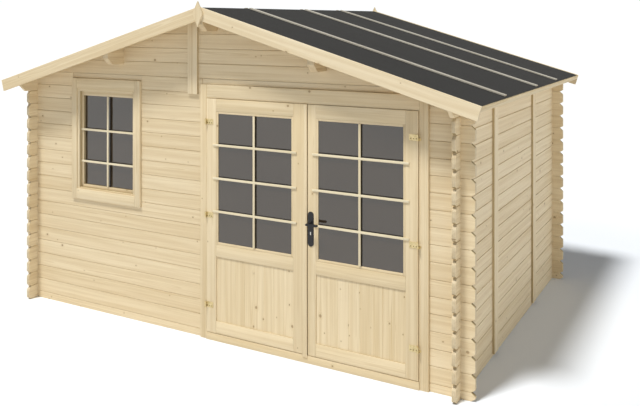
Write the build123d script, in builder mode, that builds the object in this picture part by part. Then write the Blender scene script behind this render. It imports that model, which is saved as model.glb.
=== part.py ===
from build123d import *
import os
from math import atan, cos, sin

os.makedirs("parts", exist_ok=True)

# Front from left to right: wall, window, wall, doors, wall, in millimetres
FRONT_LEFT = 472.0
WINDOW_WIDE = 780.0
FRONT_MIDDLE = 623.0
DOOR_WIDE = 1908.0
FRONT_RIGHT = 217.0
HALF_WIDTH = (FRONT_LEFT + WINDOW_WIDE + FRONT_MIDDLE + DOOR_WIDE + FRONT_RIGHT) / 2

# Wall boards laid log fashion
BOARD_PITCH = 116.8
WALL = 28.0
HALF_DEPTH = 1400.0
INNER_WIDTH = HALF_WIDTH - WALL
INNER_DEPTH = HALF_DEPTH - WALL
LOG_END = 100.0
END_TOP_CUT = 20.0
END_BOTTOM_CUT = 8.0
GROOVE_SIDE = 4.4
SIDE_BOARDS = 16
EAVE_BOARD_HIGH = 127.3
EAVE_BOARD_BOTTOM = SIDE_BOARDS * BOARD_PITCH
FRONT_TOP_JOINT = (SIDE_BOARDS + 1.5) * BOARD_PITCH

# Roof: felt on boards on three purlins
ROOF_FALL = 0.292
ROOF_ANGLE = atan(ROOF_FALL)
FELT = 3.0
ROOF_BOARD = 18.0
UNDER_APEX = EAVE_BOARD_BOTTOM + EAVE_BOARD_HIGH + ROOF_FALL * HALF_WIDTH
BOARDS_APEX = UNDER_APEX + ROOF_BOARD / cos(ROOF_ANGLE)
FELT_APEX = BOARDS_APEX + FELT / cos(ROOF_ANGLE)
JOINTS_TO_RIDGE = int(UNDER_APEX / BOARD_PITCH) + 1
EAVE_OVERHANG = 205.0
ROOF_HALF_SPAN = HALF_WIDTH + EAVE_OVERHANG
GABLE_OVERHANG = 190.0
ROOF_REACH = HALF_DEPTH + GABLE_OVERHANG
EAVE_TRIM = 16.0
EAVE_TRIM_HIGH = 35.0
LATH_WIDE = 44.0
LATH_HIGH = 11.0
LATH_TOP_SETBACK = 18.0
LATH_FOOT_SETBACK = 35.0
LATH_TOP_X = LATH_TOP_SETBACK
LATH_FOOT_X = ROOF_HALF_SPAN - LATH_FOOT_SETBACK
LATH_FRONT_Y = -908.0
LATH_MIDDLE_Y = 27.0
LATH_BACK_Y = 767.0

# Boards that finish the gables
BARGE = 16.0
BARGE_WIDE = 100.0
BARGE_PROUD = 6.0
BARGE_GAP = 0.5
FINIAL = 16.0
FINIAL_UP = 48.0
FINIAL_DOWN = 153.0
FINIAL_WAIST_DOWN = 48.0
FINIAL_TOP = FELT_APEX + FINIAL_UP
FINIAL_WAIST = FELT_APEX - FINIAL_WAIST_DOWN
FINIAL_FOOT = FELT_APEX - FINIAL_DOWN
FINIAL_HALF = 47.0

# Purlins and the slant cut under every end that carries the roof
PURLIN_WIDE = 56.0
PURLIN_HIGH = 162.0
SIDE_PURLIN_X = 968.0
RIDGE_PURLIN_FOOT = UNDER_APEX - PURLIN_HIGH
SIDE_PURLIN_FOOT = UNDER_APEX - ROOF_FALL * SIDE_PURLIN_X - PURLIN_HIGH
SLANT_LONG = 58.0
SLANT_HIGH = 54.0

# Cover boards screwed flat on the walls
COVER = 18.0
COVER_WIDE = 96.0
SIDE_COVER_FRONT_Y = -614.0
SIDE_COVER_BACK_Y = 583.0
SIDE_COVER_FOOT = 22.0
GABLE_COVER_LAP = 128.0
GABLE_COVER_FOOT = FRONT_TOP_JOINT - GABLE_COVER_LAP

# Casings round the openings, with the settling gap above
CASING_PROUD = 18.0
CASING_INSIDE = 22.0
CASING_FACE = -HALF_DEPTH - CASING_PROUD
CASING_BACK = -INNER_DEPTH + CASING_INSIDE
SETTLING_GAP = 46.0
CASING_TOP = FRONT_TOP_JOINT - SETTLING_GAP
GAP_SLOT = 3.0
GAP_BOARD = 18.0
GAP_BOARD_BACKSET = 8.0
GAP_BOARD_FACE = -HALF_DEPTH + GAP_BOARD_BACKSET

# Window
WINDOW_HIGH = 1050.0
WINDOW_LEFT = -HALF_WIDTH + FRONT_LEFT
WINDOW_RIGHT = WINDOW_LEFT + WINDOW_WIDE
WINDOW_FOOT = CASING_TOP - WINDOW_HIGH
WINDOW_CASING_SIDE = 60.0
WINDOW_CASING_CROSS = 88.0
FIXED_STRIP = 25.0
FIXED_FOOT_STRIP = 14.0
FIXED_BACKSET = 8.0
SASH_BACKSET = 37.0
SASH = 44.0
FIXED_FACE = CASING_FACE + FIXED_BACKSET
SASH_FACE = CASING_FACE + SASH_BACKSET
SASH_BACK = SASH_FACE + SASH
SASH_STILE_LEFT = 23.0
SASH_STILE_RIGHT = 27.0
SASH_TOP_RAIL = 38.0
SASH_FOOT_RAIL = 20.0
GLASS = 4.0
GLASS_REBATE = 8.0
WINDOW_GLASS_BACKSET = 20.0
WINDOW_GLASS_FACE = SASH_FACE + WINDOW_GLASS_BACKSET
BAR_WIDE = 18.0
BAR_PROUD = 8.0
WINDOW_ROW_LOW = 204.0
WINDOW_ROW_MIDDLE = 277.0
WINDOW_BAR_SHIFT = 4.0

# Door opening
DOOR_LEFT = WINDOW_RIGHT + FRONT_MIDDLE
DOOR_RIGHT = DOOR_LEFT + DOOR_WIDE
GABLE_COVER_GAP = 32.5
GABLE_COVER_RIGHT = DOOR_LEFT - GABLE_COVER_GAP
DOOR_CASING_LEFT = 62.0
DOOR_CASING_RIGHT = 66.0
DOOR_HEAD_HIGH = 103.0
DOOR_HEAD_FOOT = CASING_TOP - DOOR_HEAD_HIGH
THRESHOLD_TOP = 57.0
STOP_WIDE = 18.0
STOP_CLEARANCE = 6.0

# Door leaves
LEAF = 40.0
LEAF_PROUD = 8.0
LEAF_FACE = CASING_FACE - LEAF_PROUD
LEAF_BACK = LEAF_FACE + LEAF
LEAF_CLEARANCE = 5.0
LEAF_FOOT = THRESHOLD_TOP + LEAF_CLEARANCE
LEAF_TOP = DOOR_HEAD_FOOT - LEAF_CLEARANCE
SIDE_CLEARANCE = 6.0
LEFT_LEAF_EDGE = DOOR_LEFT + DOOR_CASING_LEFT + SIDE_CLEARANCE
RIGHT_LEAF_EDGE = DOOR_RIGHT - DOOR_CASING_RIGHT - SIDE_CLEARANCE
LEFT_LEAF_WIDE = 903.0
MEETING_LEFT = LEFT_LEAF_EDGE + LEFT_LEAF_WIDE
STRIP_WIDE = 38.0
STRIP_OVERHANG = 4.0
STRIP_PROUD = 8.0
STRIP_RIGHT = MEETING_LEFT + STRIP_OVERHANG
STRIP_LEFT = STRIP_RIGHT - STRIP_WIDE
STRIP_HANG = 17.0
STRIP_FOOT = LEAF_FOOT - STRIP_HANG
MEETING_GAP = 6.0
MEETING_RIGHT = STRIP_RIGHT + MEETING_GAP
MEETING_BEVEL = 4.0
LEFT_HINGE_STILE = 91.0
LEFT_MEETING_STILE = 114.0
RIGHT_MEETING_STILE = 66.0
RIGHT_HINGE_STILE = 91.0
LEFT_STILE_INNER = LEFT_LEAF_EDGE + LEFT_HINGE_STILE
LEFT_LOCK_INNER = MEETING_LEFT - LEFT_MEETING_STILE
RIGHT_LOCK_INNER = MEETING_RIGHT + RIGHT_MEETING_STILE
RIGHT_STILE_INNER = RIGHT_LEAF_EDGE - RIGHT_HINGE_STILE
BEAD = 18.0
BEAD_BACKSET = 2.0
TOP_RAIL = 97.0
MIDDLE_RAIL = 95.0
FOOT_RAIL = 96.0
PANEL_HIGH = 502.0
TOP_RAIL_FOOT = LEAF_TOP - TOP_RAIL
FOOT_RAIL_TOP = LEAF_FOOT + FOOT_RAIL
MIDDLE_RAIL_FOOT = FOOT_RAIL_TOP + PANEL_HIGH
MIDDLE_RAIL_TOP = MIDDLE_RAIL_FOOT + MIDDLE_RAIL
DOOR_GLASS_BACKSET = 9.0
DOOR_GLASS_FACE = LEAF_FACE + DOOR_GLASS_BACKSET
PANEL = 14.0
PANEL_BACKSET = 20.0
PANEL_FACE = LEAF_FACE + PANEL_BACKSET
PANEL_TONGUE = 8.0
DOOR_BAR_LAP = 46.0
DOOR_ROW_LOW = 237.0
DOOR_ROW_SECOND = 261.0
DOOR_ROW_THIRD = 259.0
UPRIGHT_BAR_SHIFT = 4.0

# Hinges: a knuckle on the leaf turns on a pin that rises from a knuckle on the casing
PIN_OUT = 14.0
PIN_Y = LEAF_FACE - PIN_OUT
PIN_SETBACK = 3.0
LEFT_PIN_X = LEFT_LEAF_EDGE - PIN_SETBACK
RIGHT_PIN_X = RIGHT_LEAF_EDGE + PIN_SETBACK
PIN_RADIUS = 4.0
PIN_CLEARANCE = 0.3
KNUCKLE_WALL = 2.7
KNUCKLE_RADIUS = PIN_RADIUS + PIN_CLEARANCE + KNUCKLE_WALL
HINGE_TALL = 42.0
KNUCKLE_HIGH = 23.0
KNUCKLE_GAP = 2.0
HINGE_PLATE = 3.0
HINGE_PLATE_LONG = 63.0
HINGE_WEB = 5.0
CASING_FLANGE = 14.0
HINGE_TOP_SETBACK = 180.0
HINGE_MIDDLE_UP = 918.0
HINGE_LOW_UP = 215.0
HINGE_HIGH = LEAF_TOP - HINGE_TOP_SETBACK
HINGE_MIDDLE = LEAF_FOOT + HINGE_MIDDLE_UP
HINGE_LOW = LEAF_FOOT + HINGE_LOW_UP

# Lock plates and lever
LOCK_SETBACK = 25.0
LOCK_X = MEETING_RIGHT + LOCK_SETBACK
LOCK_PLATE_WIDE = 48.0
LOCK_PLATE_HIGH = 253.0
LOCK_PLATE = 4.0
SPINDLE_UP = 968.0
SPINDLE_Z = LEAF_FOOT + SPINDLE_UP
PLATE_BELOW_SPINDLE = 45.5
LOCK_PLATE_Z = SPINDLE_Z - PLATE_BELOW_SPINDLE
SPINDLE_RADIUS = 8.0
SPINDLE_CLEARANCE = 1.0
LEVER_STAND = 50.0
LEVER = 14.0
LEVER_LONG = 98.0
LEVER_HEEL = 11.0
BAR_OFF_PLATE = 4.0


# Heights and outlines shared by several pieces
def under_roof(x):
    return UNDER_APEX - ROOF_FALL * abs(x)


def felt_top(x):
    return FELT_APEX - ROOF_FALL * abs(x)


def down_slope(point, side, along, square):
    # moves a point down the slope and square to it, up being positive
    x = point[0] + side * (along * cos(ROOF_ANGLE) + square * sin(ROOF_ANGLE))
    z = point[1] - along * sin(ROOF_ANGLE) + square * cos(ROOF_ANGLE)
    return (x, z)


def log_end(tip, low, high):
    # one board's end, from its foot to its top, with both corners cut
    inward = -1 if tip > 0 else 1
    return [
        (tip + inward * END_BOTTOM_CUT, low),
        (tip, low + END_BOTTOM_CUT),
        (tip, high - END_TOP_CUT),
        (tip + inward * END_TOP_CUT, high),
    ]


def front_log_end(tip, top):
    # the ends of the front boards, which start with half a board
    points = log_end(tip, 0, BOARD_PITCH / 2)
    for board in range(1, SIDE_BOARDS + 1):
        points += log_end(tip, (board - 0.5) * BOARD_PITCH, (board + 0.5) * BOARD_PITCH)
    inward = -1 if tip > 0 else 1
    last_joint = (SIDE_BOARDS + 0.5) * BOARD_PITCH
    points += [(tip + inward * END_BOTTOM_CUT, last_joint), (tip, last_joint + END_BOTTOM_CUT)]
    return points + [(tip, top)]


def side_log_end(tip):
    # the ends of the full side boards
    points = []
    for board in range(SIDE_BOARDS):
        points += log_end(tip, board * BOARD_PITCH, (board + 1) * BOARD_PITCH)
    return points


# Cutting and placing helpers, each used inside the piece it works on
def rect(x0, x1, y0, y1, mode=Mode.ADD):
    with Locations(((x0 + x1) / 2, (y0 + y1) / 2)):
        Rectangle(x1 - x0, y1 - y0, mode=mode)


def block(x0, x1, y0, y1, z0, z1, mode=Mode.ADD):
    with Locations(((x0 + x1) / 2, (y0 + y1) / 2, (z0 + z1) / 2)):
        Box(x1 - x0, y1 - y0, z1 - z0, mode=mode)


def trim_under_roof():
    with BuildSketch(Plane.XZ.offset(ROOF_REACH + 200)) as section:
        wide = ROOF_HALF_SPAN + 200
        low = under_roof(wide)
        high = FINIAL_TOP + 100
        Polygon((-wide, low), (0, UNDER_APEX), (wide, low), (wide, high), (-wide, high), align=None)
    extrude(section.sketch, amount=-2 * (ROOF_REACH + 200), mode=Mode.SUBTRACT)


def grooves_along_x(face, first, count):
    with BuildSketch(Plane.YZ.offset(-HALF_WIDTH - LOG_END)) as section:
        for joint in range(count):
            with Locations((face, (first + joint) * BOARD_PITCH)):
                Rectangle(GROOVE_SIDE, GROOVE_SIDE, rotation=45)
    extrude(section.sketch, amount=2 * (HALF_WIDTH + LOG_END), mode=Mode.SUBTRACT)


def grooves_along_y(face):
    with BuildSketch(Plane.XZ.offset(ROOF_REACH)) as section:
        for joint in range(1, SIDE_BOARDS + 1):
            with Locations((face, joint * BOARD_PITCH)):
                Rectangle(GROOVE_SIDE, GROOVE_SIDE, rotation=45)
    extrude(section.sketch, amount=-2 * ROOF_REACH, mode=Mode.SUBTRACT)


def side_board_seats(side):
    # holes in a front or back wall, through which the side boards pass
    middle = side * (HALF_WIDTH - WALL / 2)
    with BuildSketch(Plane.XZ.offset(HALF_DEPTH + 10)) as section:
        for board in range(SIDE_BOARDS + 1):
            with Locations((middle, (board + 0.5) * BOARD_PITCH)):
                Rectangle(WALL, BOARD_PITCH / 2)
    extrude(section.sketch, amount=-2 * (HALF_DEPTH + 10), mode=Mode.SUBTRACT)


def front_board_seats(outer_x):
    # holes in a side wall, through which the front and back boards pass
    with BuildSketch(Plane.YZ.offset(outer_x)) as section:
        for face in (-HALF_DEPTH + WALL / 2, HALF_DEPTH - WALL / 2):
            for board in range(SIDE_BOARDS + 2):
                with Locations((face, board * BOARD_PITCH)):
                    Rectangle(WALL, BOARD_PITCH / 2)
    extrude(section.sketch, amount=WALL, mode=Mode.SUBTRACT)


def purlin_seats():
    half = PURLIN_WIDE / 2
    deep = ROOF_REACH
    block(-half, half, -deep, deep, RIDGE_PURLIN_FOOT, FELT_APEX, Mode.SUBTRACT)
    for side in (-1, 1):
        left = side * SIDE_PURLIN_X - half
        block(left, left + PURLIN_WIDE, -deep, deep, SIDE_PURLIN_FOOT, FELT_APEX, Mode.SUBTRACT)


# Side walls, and the long slant-cut board that tops each one under the eave
side_outline = side_log_end(HALF_DEPTH + LOG_END)
side_outline += list(reversed(side_log_end(-HALF_DEPTH - LOG_END)))

with BuildPart() as left_wall:
    with BuildSketch(Plane.YZ.offset(-HALF_WIDTH)):
        Polygon(*side_outline, align=None)
    extrude(amount=WALL)
    front_board_seats(-HALF_WIDTH)
    grooves_along_y(-HALF_WIDTH)

with BuildPart() as right_wall:
    with BuildSketch(Plane.YZ.offset(INNER_WIDTH)):
        Polygon(*side_outline, align=None)
    extrude(amount=WALL)
    front_board_seats(INNER_WIDTH)
    grooves_along_y(HALF_WIDTH)

with BuildPart() as eave_boards:
    for outer_x in (-HALF_WIDTH, INNER_WIDTH):
        with BuildSketch(Plane.YZ.offset(outer_x)):
            Polygon(
                (-ROOF_REACH + SLANT_LONG, EAVE_BOARD_BOTTOM),
                (ROOF_REACH - SLANT_LONG, EAVE_BOARD_BOTTOM),
                (ROOF_REACH, EAVE_BOARD_BOTTOM + SLANT_HIGH),
                (ROOF_REACH, FRONT_TOP_JOINT),
                (-ROOF_REACH, FRONT_TOP_JOINT),
                (-ROOF_REACH, EAVE_BOARD_BOTTOM + SLANT_HIGH),
                align=None,
            )
        extrude(amount=WALL)
        front_board_seats(outer_x)
    grooves_along_y(-HALF_WIDTH)
    grooves_along_y(HALF_WIDTH)
    trim_under_roof()

# Back wall, boards up to the gable point
back_outline = front_log_end(HALF_WIDTH + LOG_END, UNDER_APEX)
back_outline += list(reversed(front_log_end(-HALF_WIDTH - LOG_END, UNDER_APEX)))

with BuildPart() as back_wall:
    with BuildSketch(Plane.XZ.offset(-HALF_DEPTH)):
        Polygon(*back_outline, align=None)
    extrude(amount=WALL)
    side_board_seats(-1)
    side_board_seats(1)
    grooves_along_x(HALF_DEPTH, 0.5, JOINTS_TO_RIDGE)
    trim_under_roof()
    purlin_seats()

# Front wall: left of the doorway with the window opening, right of it, and the gable
front_outline = front_log_end(HALF_WIDTH + LOG_END, FRONT_TOP_JOINT)
front_outline += list(reversed(front_log_end(-HALF_WIDTH - LOG_END, FRONT_TOP_JOINT)))

with BuildPart() as front_wall_left:
    with BuildSketch(Plane.XZ.offset(INNER_DEPTH)):
        Polygon(*front_outline, align=None)
        rect(WINDOW_LEFT, WINDOW_RIGHT, WINDOW_FOOT, FRONT_TOP_JOINT, Mode.SUBTRACT)
        rect(DOOR_LEFT, HALF_WIDTH + LOG_END, 0, FRONT_TOP_JOINT, Mode.SUBTRACT)
    extrude(amount=WALL)
    side_board_seats(-1)
    grooves_along_x(-HALF_DEPTH, 0.5, SIDE_BOARDS + 1)
    trim_under_roof()

with BuildPart() as front_wall_right:
    with BuildSketch(Plane.XZ.offset(INNER_DEPTH)):
        Polygon(*front_outline, align=None)
        rect(-HALF_WIDTH - LOG_END, DOOR_RIGHT, 0, FRONT_TOP_JOINT, Mode.SUBTRACT)
    extrude(amount=WALL)
    side_board_seats(1)
    grooves_along_x(-HALF_DEPTH, 0.5, SIDE_BOARDS + 1)
    trim_under_roof()

with BuildPart() as front_gable:
    block(-HALF_WIDTH, HALF_WIDTH, -HALF_DEPTH, -INNER_DEPTH, FRONT_TOP_JOINT, UNDER_APEX)
    gable_joints = JOINTS_TO_RIDGE - SIDE_BOARDS - 1
    grooves_along_x(-HALF_DEPTH, SIDE_BOARDS + 1.5, gable_joints)
    trim_under_roof()
    purlin_seats()


# Purlins with their ends cut on the slant underneath
def purlin(x, foot):
    with BuildSketch(Plane.YZ.offset(x - PURLIN_WIDE / 2)) as section:
        Polygon(
            (-ROOF_REACH + SLANT_LONG, foot),
            (ROOF_REACH - SLANT_LONG, foot),
            (ROOF_REACH, foot + SLANT_HIGH),
            (ROOF_REACH, FELT_APEX),
            (-ROOF_REACH, FELT_APEX),
            (-ROOF_REACH, foot + SLANT_HIGH),
            align=None,
        )
    extrude(section.sketch, amount=PURLIN_WIDE)


with BuildPart() as ridge_purlin:
    purlin(0, RIDGE_PURLIN_FOOT)
    trim_under_roof()

with BuildPart() as side_purlins:
    purlin(-SIDE_PURLIN_X, SIDE_PURLIN_FOOT)
    purlin(SIDE_PURLIN_X, SIDE_PURLIN_FOOT)
    trim_under_roof()


# Roof covering, drawn as sections square to the ridge
def edge_points(side):
    outer = (side * ROOF_HALF_SPAN, felt_top(ROOF_HALF_SPAN))
    return outer, down_slope(outer, side, -EAVE_TRIM, 0)


def slope_slab(side, upper_apex, lower_apex, upper_depth, lower_depth):
    # a layer of the roof from the ridge to the eave trim
    inner = edge_points(side)[1]
    with BuildSketch(Plane.XZ.offset(ROOF_REACH)) as section:
        Polygon(
            (0, upper_apex),
            down_slope(inner, side, 0, -upper_depth),
            down_slope(inner, side, 0, -lower_depth),
            (0, lower_apex),
            align=None,
        )
    extrude(section.sketch, amount=-2 * ROOF_REACH)


with BuildPart() as roof_boards_left:
    slope_slab(-1, BOARDS_APEX, UNDER_APEX, FELT, FELT + ROOF_BOARD)

with BuildPart() as roof_boards_right:
    slope_slab(1, BOARDS_APEX, UNDER_APEX, FELT, FELT + ROOF_BOARD)

with BuildPart() as roof_felt_left:
    slope_slab(-1, FELT_APEX, BOARDS_APEX, 0, FELT)

with BuildPart() as roof_felt_right:
    slope_slab(1, FELT_APEX, BOARDS_APEX, 0, FELT)

with BuildPart() as eave_trims:
    with BuildSketch(Plane.XZ.offset(ROOF_REACH)):
        for side in (-1, 1):
            outer, inner = edge_points(side)
            low_outer = down_slope(outer, side, 0, -EAVE_TRIM_HIGH)
            low_inner = down_slope(inner, side, 0, -EAVE_TRIM_HIGH)
            Polygon(inner, outer, low_outer, low_inner, align=None)
    extrude(amount=-2 * ROOF_REACH)

with BuildPart() as felt_laths:
    for lath_y in (LATH_FRONT_Y, LATH_MIDDLE_Y, LATH_BACK_Y):
        with BuildSketch(Plane.XZ.offset(LATH_WIDE / 2 - lath_y)):
            for side in (-1, 1):
                top = (side * LATH_TOP_X, felt_top(LATH_TOP_X))
                foot = (side * LATH_FOOT_X, felt_top(LATH_FOOT_X))
                raised_top = down_slope(top, side, 0, LATH_HIGH)
                raised_foot = down_slope(foot, side, 0, LATH_HIGH)
                Polygon(top, foot, raised_foot, raised_top, align=None)
        extrude(amount=-LATH_WIDE)


# Barge boards and the pointed boards over their mitres
def barge_section(side):
    top_apex = FELT_APEX + BARGE_PROUD
    top = (side * BARGE_GAP, top_apex - ROOF_FALL * BARGE_GAP)
    end = (side * ROOF_HALF_SPAN, top_apex - ROOF_FALL * ROOF_HALF_SPAN)
    low_end = down_slope(end, side, 0, -BARGE_WIDE)
    low_top = (top[0], top[1] - BARGE_WIDE / cos(ROOF_ANGLE))
    Polygon(top, end, low_end, low_top, align=None)


with BuildPart() as barge_boards:
    with BuildSketch(Plane.XZ.offset(ROOF_REACH + BARGE)):
        barge_section(-1)
        barge_section(1)
    extrude(amount=-BARGE)
    with BuildSketch(Plane.XZ.offset(-ROOF_REACH)):
        barge_section(-1)
        barge_section(1)
    extrude(amount=-BARGE)

with BuildPart() as finials:
    kite = [(0, FINIAL_TOP), (FINIAL_HALF, FINIAL_WAIST), (0, FINIAL_FOOT), (-FINIAL_HALF, FINIAL_WAIST)]
    with BuildSketch(Plane.XZ.offset(ROOF_REACH + BARGE + FINIAL)):
        Polygon(*kite, align=None)
    extrude(amount=-FINIAL)
    with BuildSketch(Plane.XZ.offset(-ROOF_REACH - BARGE)):
        Polygon(*kite, align=None)
    extrude(amount=-FINIAL)

# Cover boards on the walls
with BuildPart() as side_cover_boards:
    for centre in (SIDE_COVER_FRONT_Y, SIDE_COVER_BACK_Y):
        low_y = centre - COVER_WIDE / 2
        high_y = centre + COVER_WIDE / 2
        block(HALF_WIDTH, HALF_WIDTH + COVER, low_y, high_y, SIDE_COVER_FOOT, FRONT_TOP_JOINT)
        block(-HALF_WIDTH - COVER, -HALF_WIDTH, low_y, high_y, SIDE_COVER_FOOT, FRONT_TOP_JOINT)
    trim_under_roof()

with BuildPart() as gable_cover_boards:
    low_x = GABLE_COVER_RIGHT - COVER_WIDE
    high_x = GABLE_COVER_RIGHT
    block(low_x, high_x, -HALF_DEPTH - COVER, -HALF_DEPTH, GABLE_COVER_FOOT, UNDER_APEX)
    block(low_x, high_x, HALF_DEPTH, HALF_DEPTH + COVER, GABLE_COVER_FOOT, UNDER_APEX)
    trim_under_roof()

# Settling-gap boards, set back behind the slot over each casing
with BuildPart() as gap_boards:
    gap_foot = CASING_TOP + GAP_SLOT
    gap_back = GAP_BOARD_FACE + GAP_BOARD
    block(WINDOW_LEFT, WINDOW_RIGHT, GAP_BOARD_FACE, gap_back, gap_foot, FRONT_TOP_JOINT)
    block(DOOR_LEFT, DOOR_RIGHT, GAP_BOARD_FACE, gap_back, gap_foot, FRONT_TOP_JOINT)

# Door casings with the stops the leaves close against
LEFT_JAMB_INNER = DOOR_LEFT + DOOR_CASING_LEFT
RIGHT_JAMB_INNER = DOOR_RIGHT - DOOR_CASING_RIGHT
STOP_FACE = LEAF_BACK + STOP_CLEARANCE
STOP_TOP = DOOR_HEAD_FOOT - STOP_WIDE

with BuildPart() as door_side_casings:
    block(DOOR_LEFT, LEFT_JAMB_INNER, CASING_FACE, CASING_BACK, 0, CASING_TOP)
    block(LEFT_JAMB_INNER, LEFT_JAMB_INNER + STOP_WIDE, STOP_FACE, CASING_BACK, THRESHOLD_TOP, STOP_TOP)
    block(RIGHT_JAMB_INNER, DOOR_RIGHT, CASING_FACE, CASING_BACK, 0, CASING_TOP)
    block(RIGHT_JAMB_INNER - STOP_WIDE, RIGHT_JAMB_INNER, STOP_FACE, CASING_BACK, THRESHOLD_TOP, STOP_TOP)

with BuildPart() as door_head_casing:
    block(LEFT_JAMB_INNER, RIGHT_JAMB_INNER, CASING_FACE, CASING_BACK, DOOR_HEAD_FOOT, CASING_TOP)
    block(LEFT_JAMB_INNER, RIGHT_JAMB_INNER, STOP_FACE, CASING_BACK, STOP_TOP, DOOR_HEAD_FOOT)

with BuildPart() as door_threshold:
    block(LEFT_JAMB_INNER, RIGHT_JAMB_INNER, CASING_FACE, CASING_BACK, 0, THRESHOLD_TOP)

# Window casings
FRAME_LEFT = WINDOW_LEFT + WINDOW_CASING_SIDE
FRAME_RIGHT = WINDOW_RIGHT - WINDOW_CASING_SIDE
FRAME_FOOT = WINDOW_FOOT + WINDOW_CASING_CROSS
FRAME_TOP = CASING_TOP - WINDOW_CASING_CROSS

with BuildPart() as window_side_casings:
    block(WINDOW_LEFT, FRAME_LEFT, CASING_FACE, CASING_BACK, WINDOW_FOOT, CASING_TOP)
    block(FRAME_RIGHT, WINDOW_RIGHT, CASING_FACE, CASING_BACK, WINDOW_FOOT, CASING_TOP)

with BuildPart() as window_cross_casings:
    block(FRAME_LEFT, FRAME_RIGHT, CASING_FACE, CASING_BACK, FRAME_TOP, CASING_TOP)
    block(FRAME_LEFT, FRAME_RIGHT, CASING_FACE, CASING_BACK, WINDOW_FOOT, FRAME_FOOT)

# Window frame, sash, glass and bars
SASH_LEFT = FRAME_LEFT + FIXED_STRIP
SASH_RIGHT = FRAME_RIGHT - FIXED_STRIP
SASH_FOOT = FRAME_FOOT + FIXED_FOOT_STRIP
SASH_TOP = FRAME_TOP - FIXED_STRIP
PANE_LEFT = SASH_LEFT + SASH_STILE_LEFT
PANE_RIGHT = SASH_RIGHT - SASH_STILE_RIGHT
PANE_FOOT = SASH_FOOT + SASH_FOOT_RAIL
PANE_TOP = SASH_TOP - SASH_TOP_RAIL
PANE_BACK = WINDOW_GLASS_FACE + GLASS

with BuildPart() as window_frame:
    block(FRAME_LEFT, FRAME_RIGHT, FIXED_FACE, SASH_BACK, FRAME_FOOT, FRAME_TOP)
    block(SASH_LEFT, SASH_RIGHT, FIXED_FACE, SASH_BACK, SASH_FOOT, SASH_TOP, Mode.SUBTRACT)


def window_pane(mode=Mode.ADD):
    left = PANE_LEFT - GLASS_REBATE
    right = PANE_RIGHT + GLASS_REBATE
    foot = PANE_FOOT - GLASS_REBATE
    top = PANE_TOP + GLASS_REBATE
    block(left, right, WINDOW_GLASS_FACE, PANE_BACK, foot, top, mode)


with BuildPart() as window_sash:
    block(SASH_LEFT, SASH_RIGHT, SASH_FACE, SASH_BACK, SASH_FOOT, SASH_TOP)
    block(PANE_LEFT, PANE_RIGHT, SASH_FACE, SASH_BACK, PANE_FOOT, PANE_TOP, Mode.SUBTRACT)
    window_pane(Mode.SUBTRACT)

with BuildPart() as window_glass:
    window_pane()

with BuildPart() as window_bars:
    bar_front = SASH_FACE - BAR_PROUD
    upright = (PANE_LEFT + PANE_RIGHT) / 2 + WINDOW_BAR_SHIFT
    low_bar = PANE_FOOT + WINDOW_ROW_LOW
    half_bar = BAR_WIDE / 2
    block(upright - half_bar, upright + half_bar, bar_front, SASH_FACE, PANE_FOOT, PANE_TOP)
    for height in (low_bar, low_bar + WINDOW_ROW_MIDDLE):
        block(SASH_LEFT, SASH_RIGHT, bar_front, SASH_FACE, height - half_bar, height + half_bar)

# Door leaves: what both share
GLASS_TOP = TOP_RAIL_FOOT - BEAD
GLASS_FOOT = MIDDLE_RAIL_TOP + BEAD
BEAD_FACE = LEAF_FACE + BEAD_BACKSET
DOOR_GLASS_BACK = DOOR_GLASS_FACE + GLASS
PANEL_BACK = PANEL_FACE + PANEL


def door_pane(left, right, mode=Mode.ADD):
    low = GLASS_FOOT - GLASS_REBATE
    high = GLASS_TOP + GLASS_REBATE
    block(left - GLASS_REBATE, right + GLASS_REBATE, DOOR_GLASS_FACE, DOOR_GLASS_BACK, low, high, mode)


def door_panel(left, right, mode=Mode.ADD):
    low = FOOT_RAIL_TOP - PANEL_TONGUE
    high = MIDDLE_RAIL_FOOT + PANEL_TONGUE
    block(left - PANEL_TONGUE, right + PANEL_TONGUE, PANEL_FACE, PANEL_BACK, low, high, mode)


def leaf_rails(left, right):
    # rails between the stiles, each with its glazing bead
    block(left, right, LEAF_FACE, LEAF_BACK, TOP_RAIL_FOOT, LEAF_TOP)
    block(left, right, LEAF_FACE, LEAF_BACK, MIDDLE_RAIL_FOOT, MIDDLE_RAIL_TOP)
    block(left, right, LEAF_FACE, LEAF_BACK, LEAF_FOOT, FOOT_RAIL_TOP)
    block(left + BEAD, right - BEAD, BEAD_FACE, LEAF_BACK, GLASS_TOP, TOP_RAIL_FOOT)
    block(left + BEAD, right - BEAD, BEAD_FACE, LEAF_BACK, MIDDLE_RAIL_TOP, GLASS_FOOT)
    door_pane(left + BEAD, right - BEAD, Mode.SUBTRACT)
    door_panel(left, right, Mode.SUBTRACT)


def glazing_bars(left, right, low_bar_left):
    # a flat lattice in front of the glass, its level bars lapping over the stiles
    front = LEAF_FACE - BAR_PROUD
    half = BAR_WIDE / 2
    upright = (left + right) / 2 + UPRIGHT_BAR_SHIFT
    low_bar = GLASS_FOOT + DOOR_ROW_LOW
    second_bar = low_bar + DOOR_ROW_SECOND
    block(upright - half, upright + half, front, LEAF_FACE, GLASS_FOOT, GLASS_TOP)
    for height in (low_bar, second_bar, second_bar + DOOR_ROW_THIRD):
        lap_left = low_bar_left if height == low_bar else left - DOOR_BAR_LAP
        block(lap_left, right + DOOR_BAR_LAP, front, LEAF_FACE, height - half, height + half)


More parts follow.
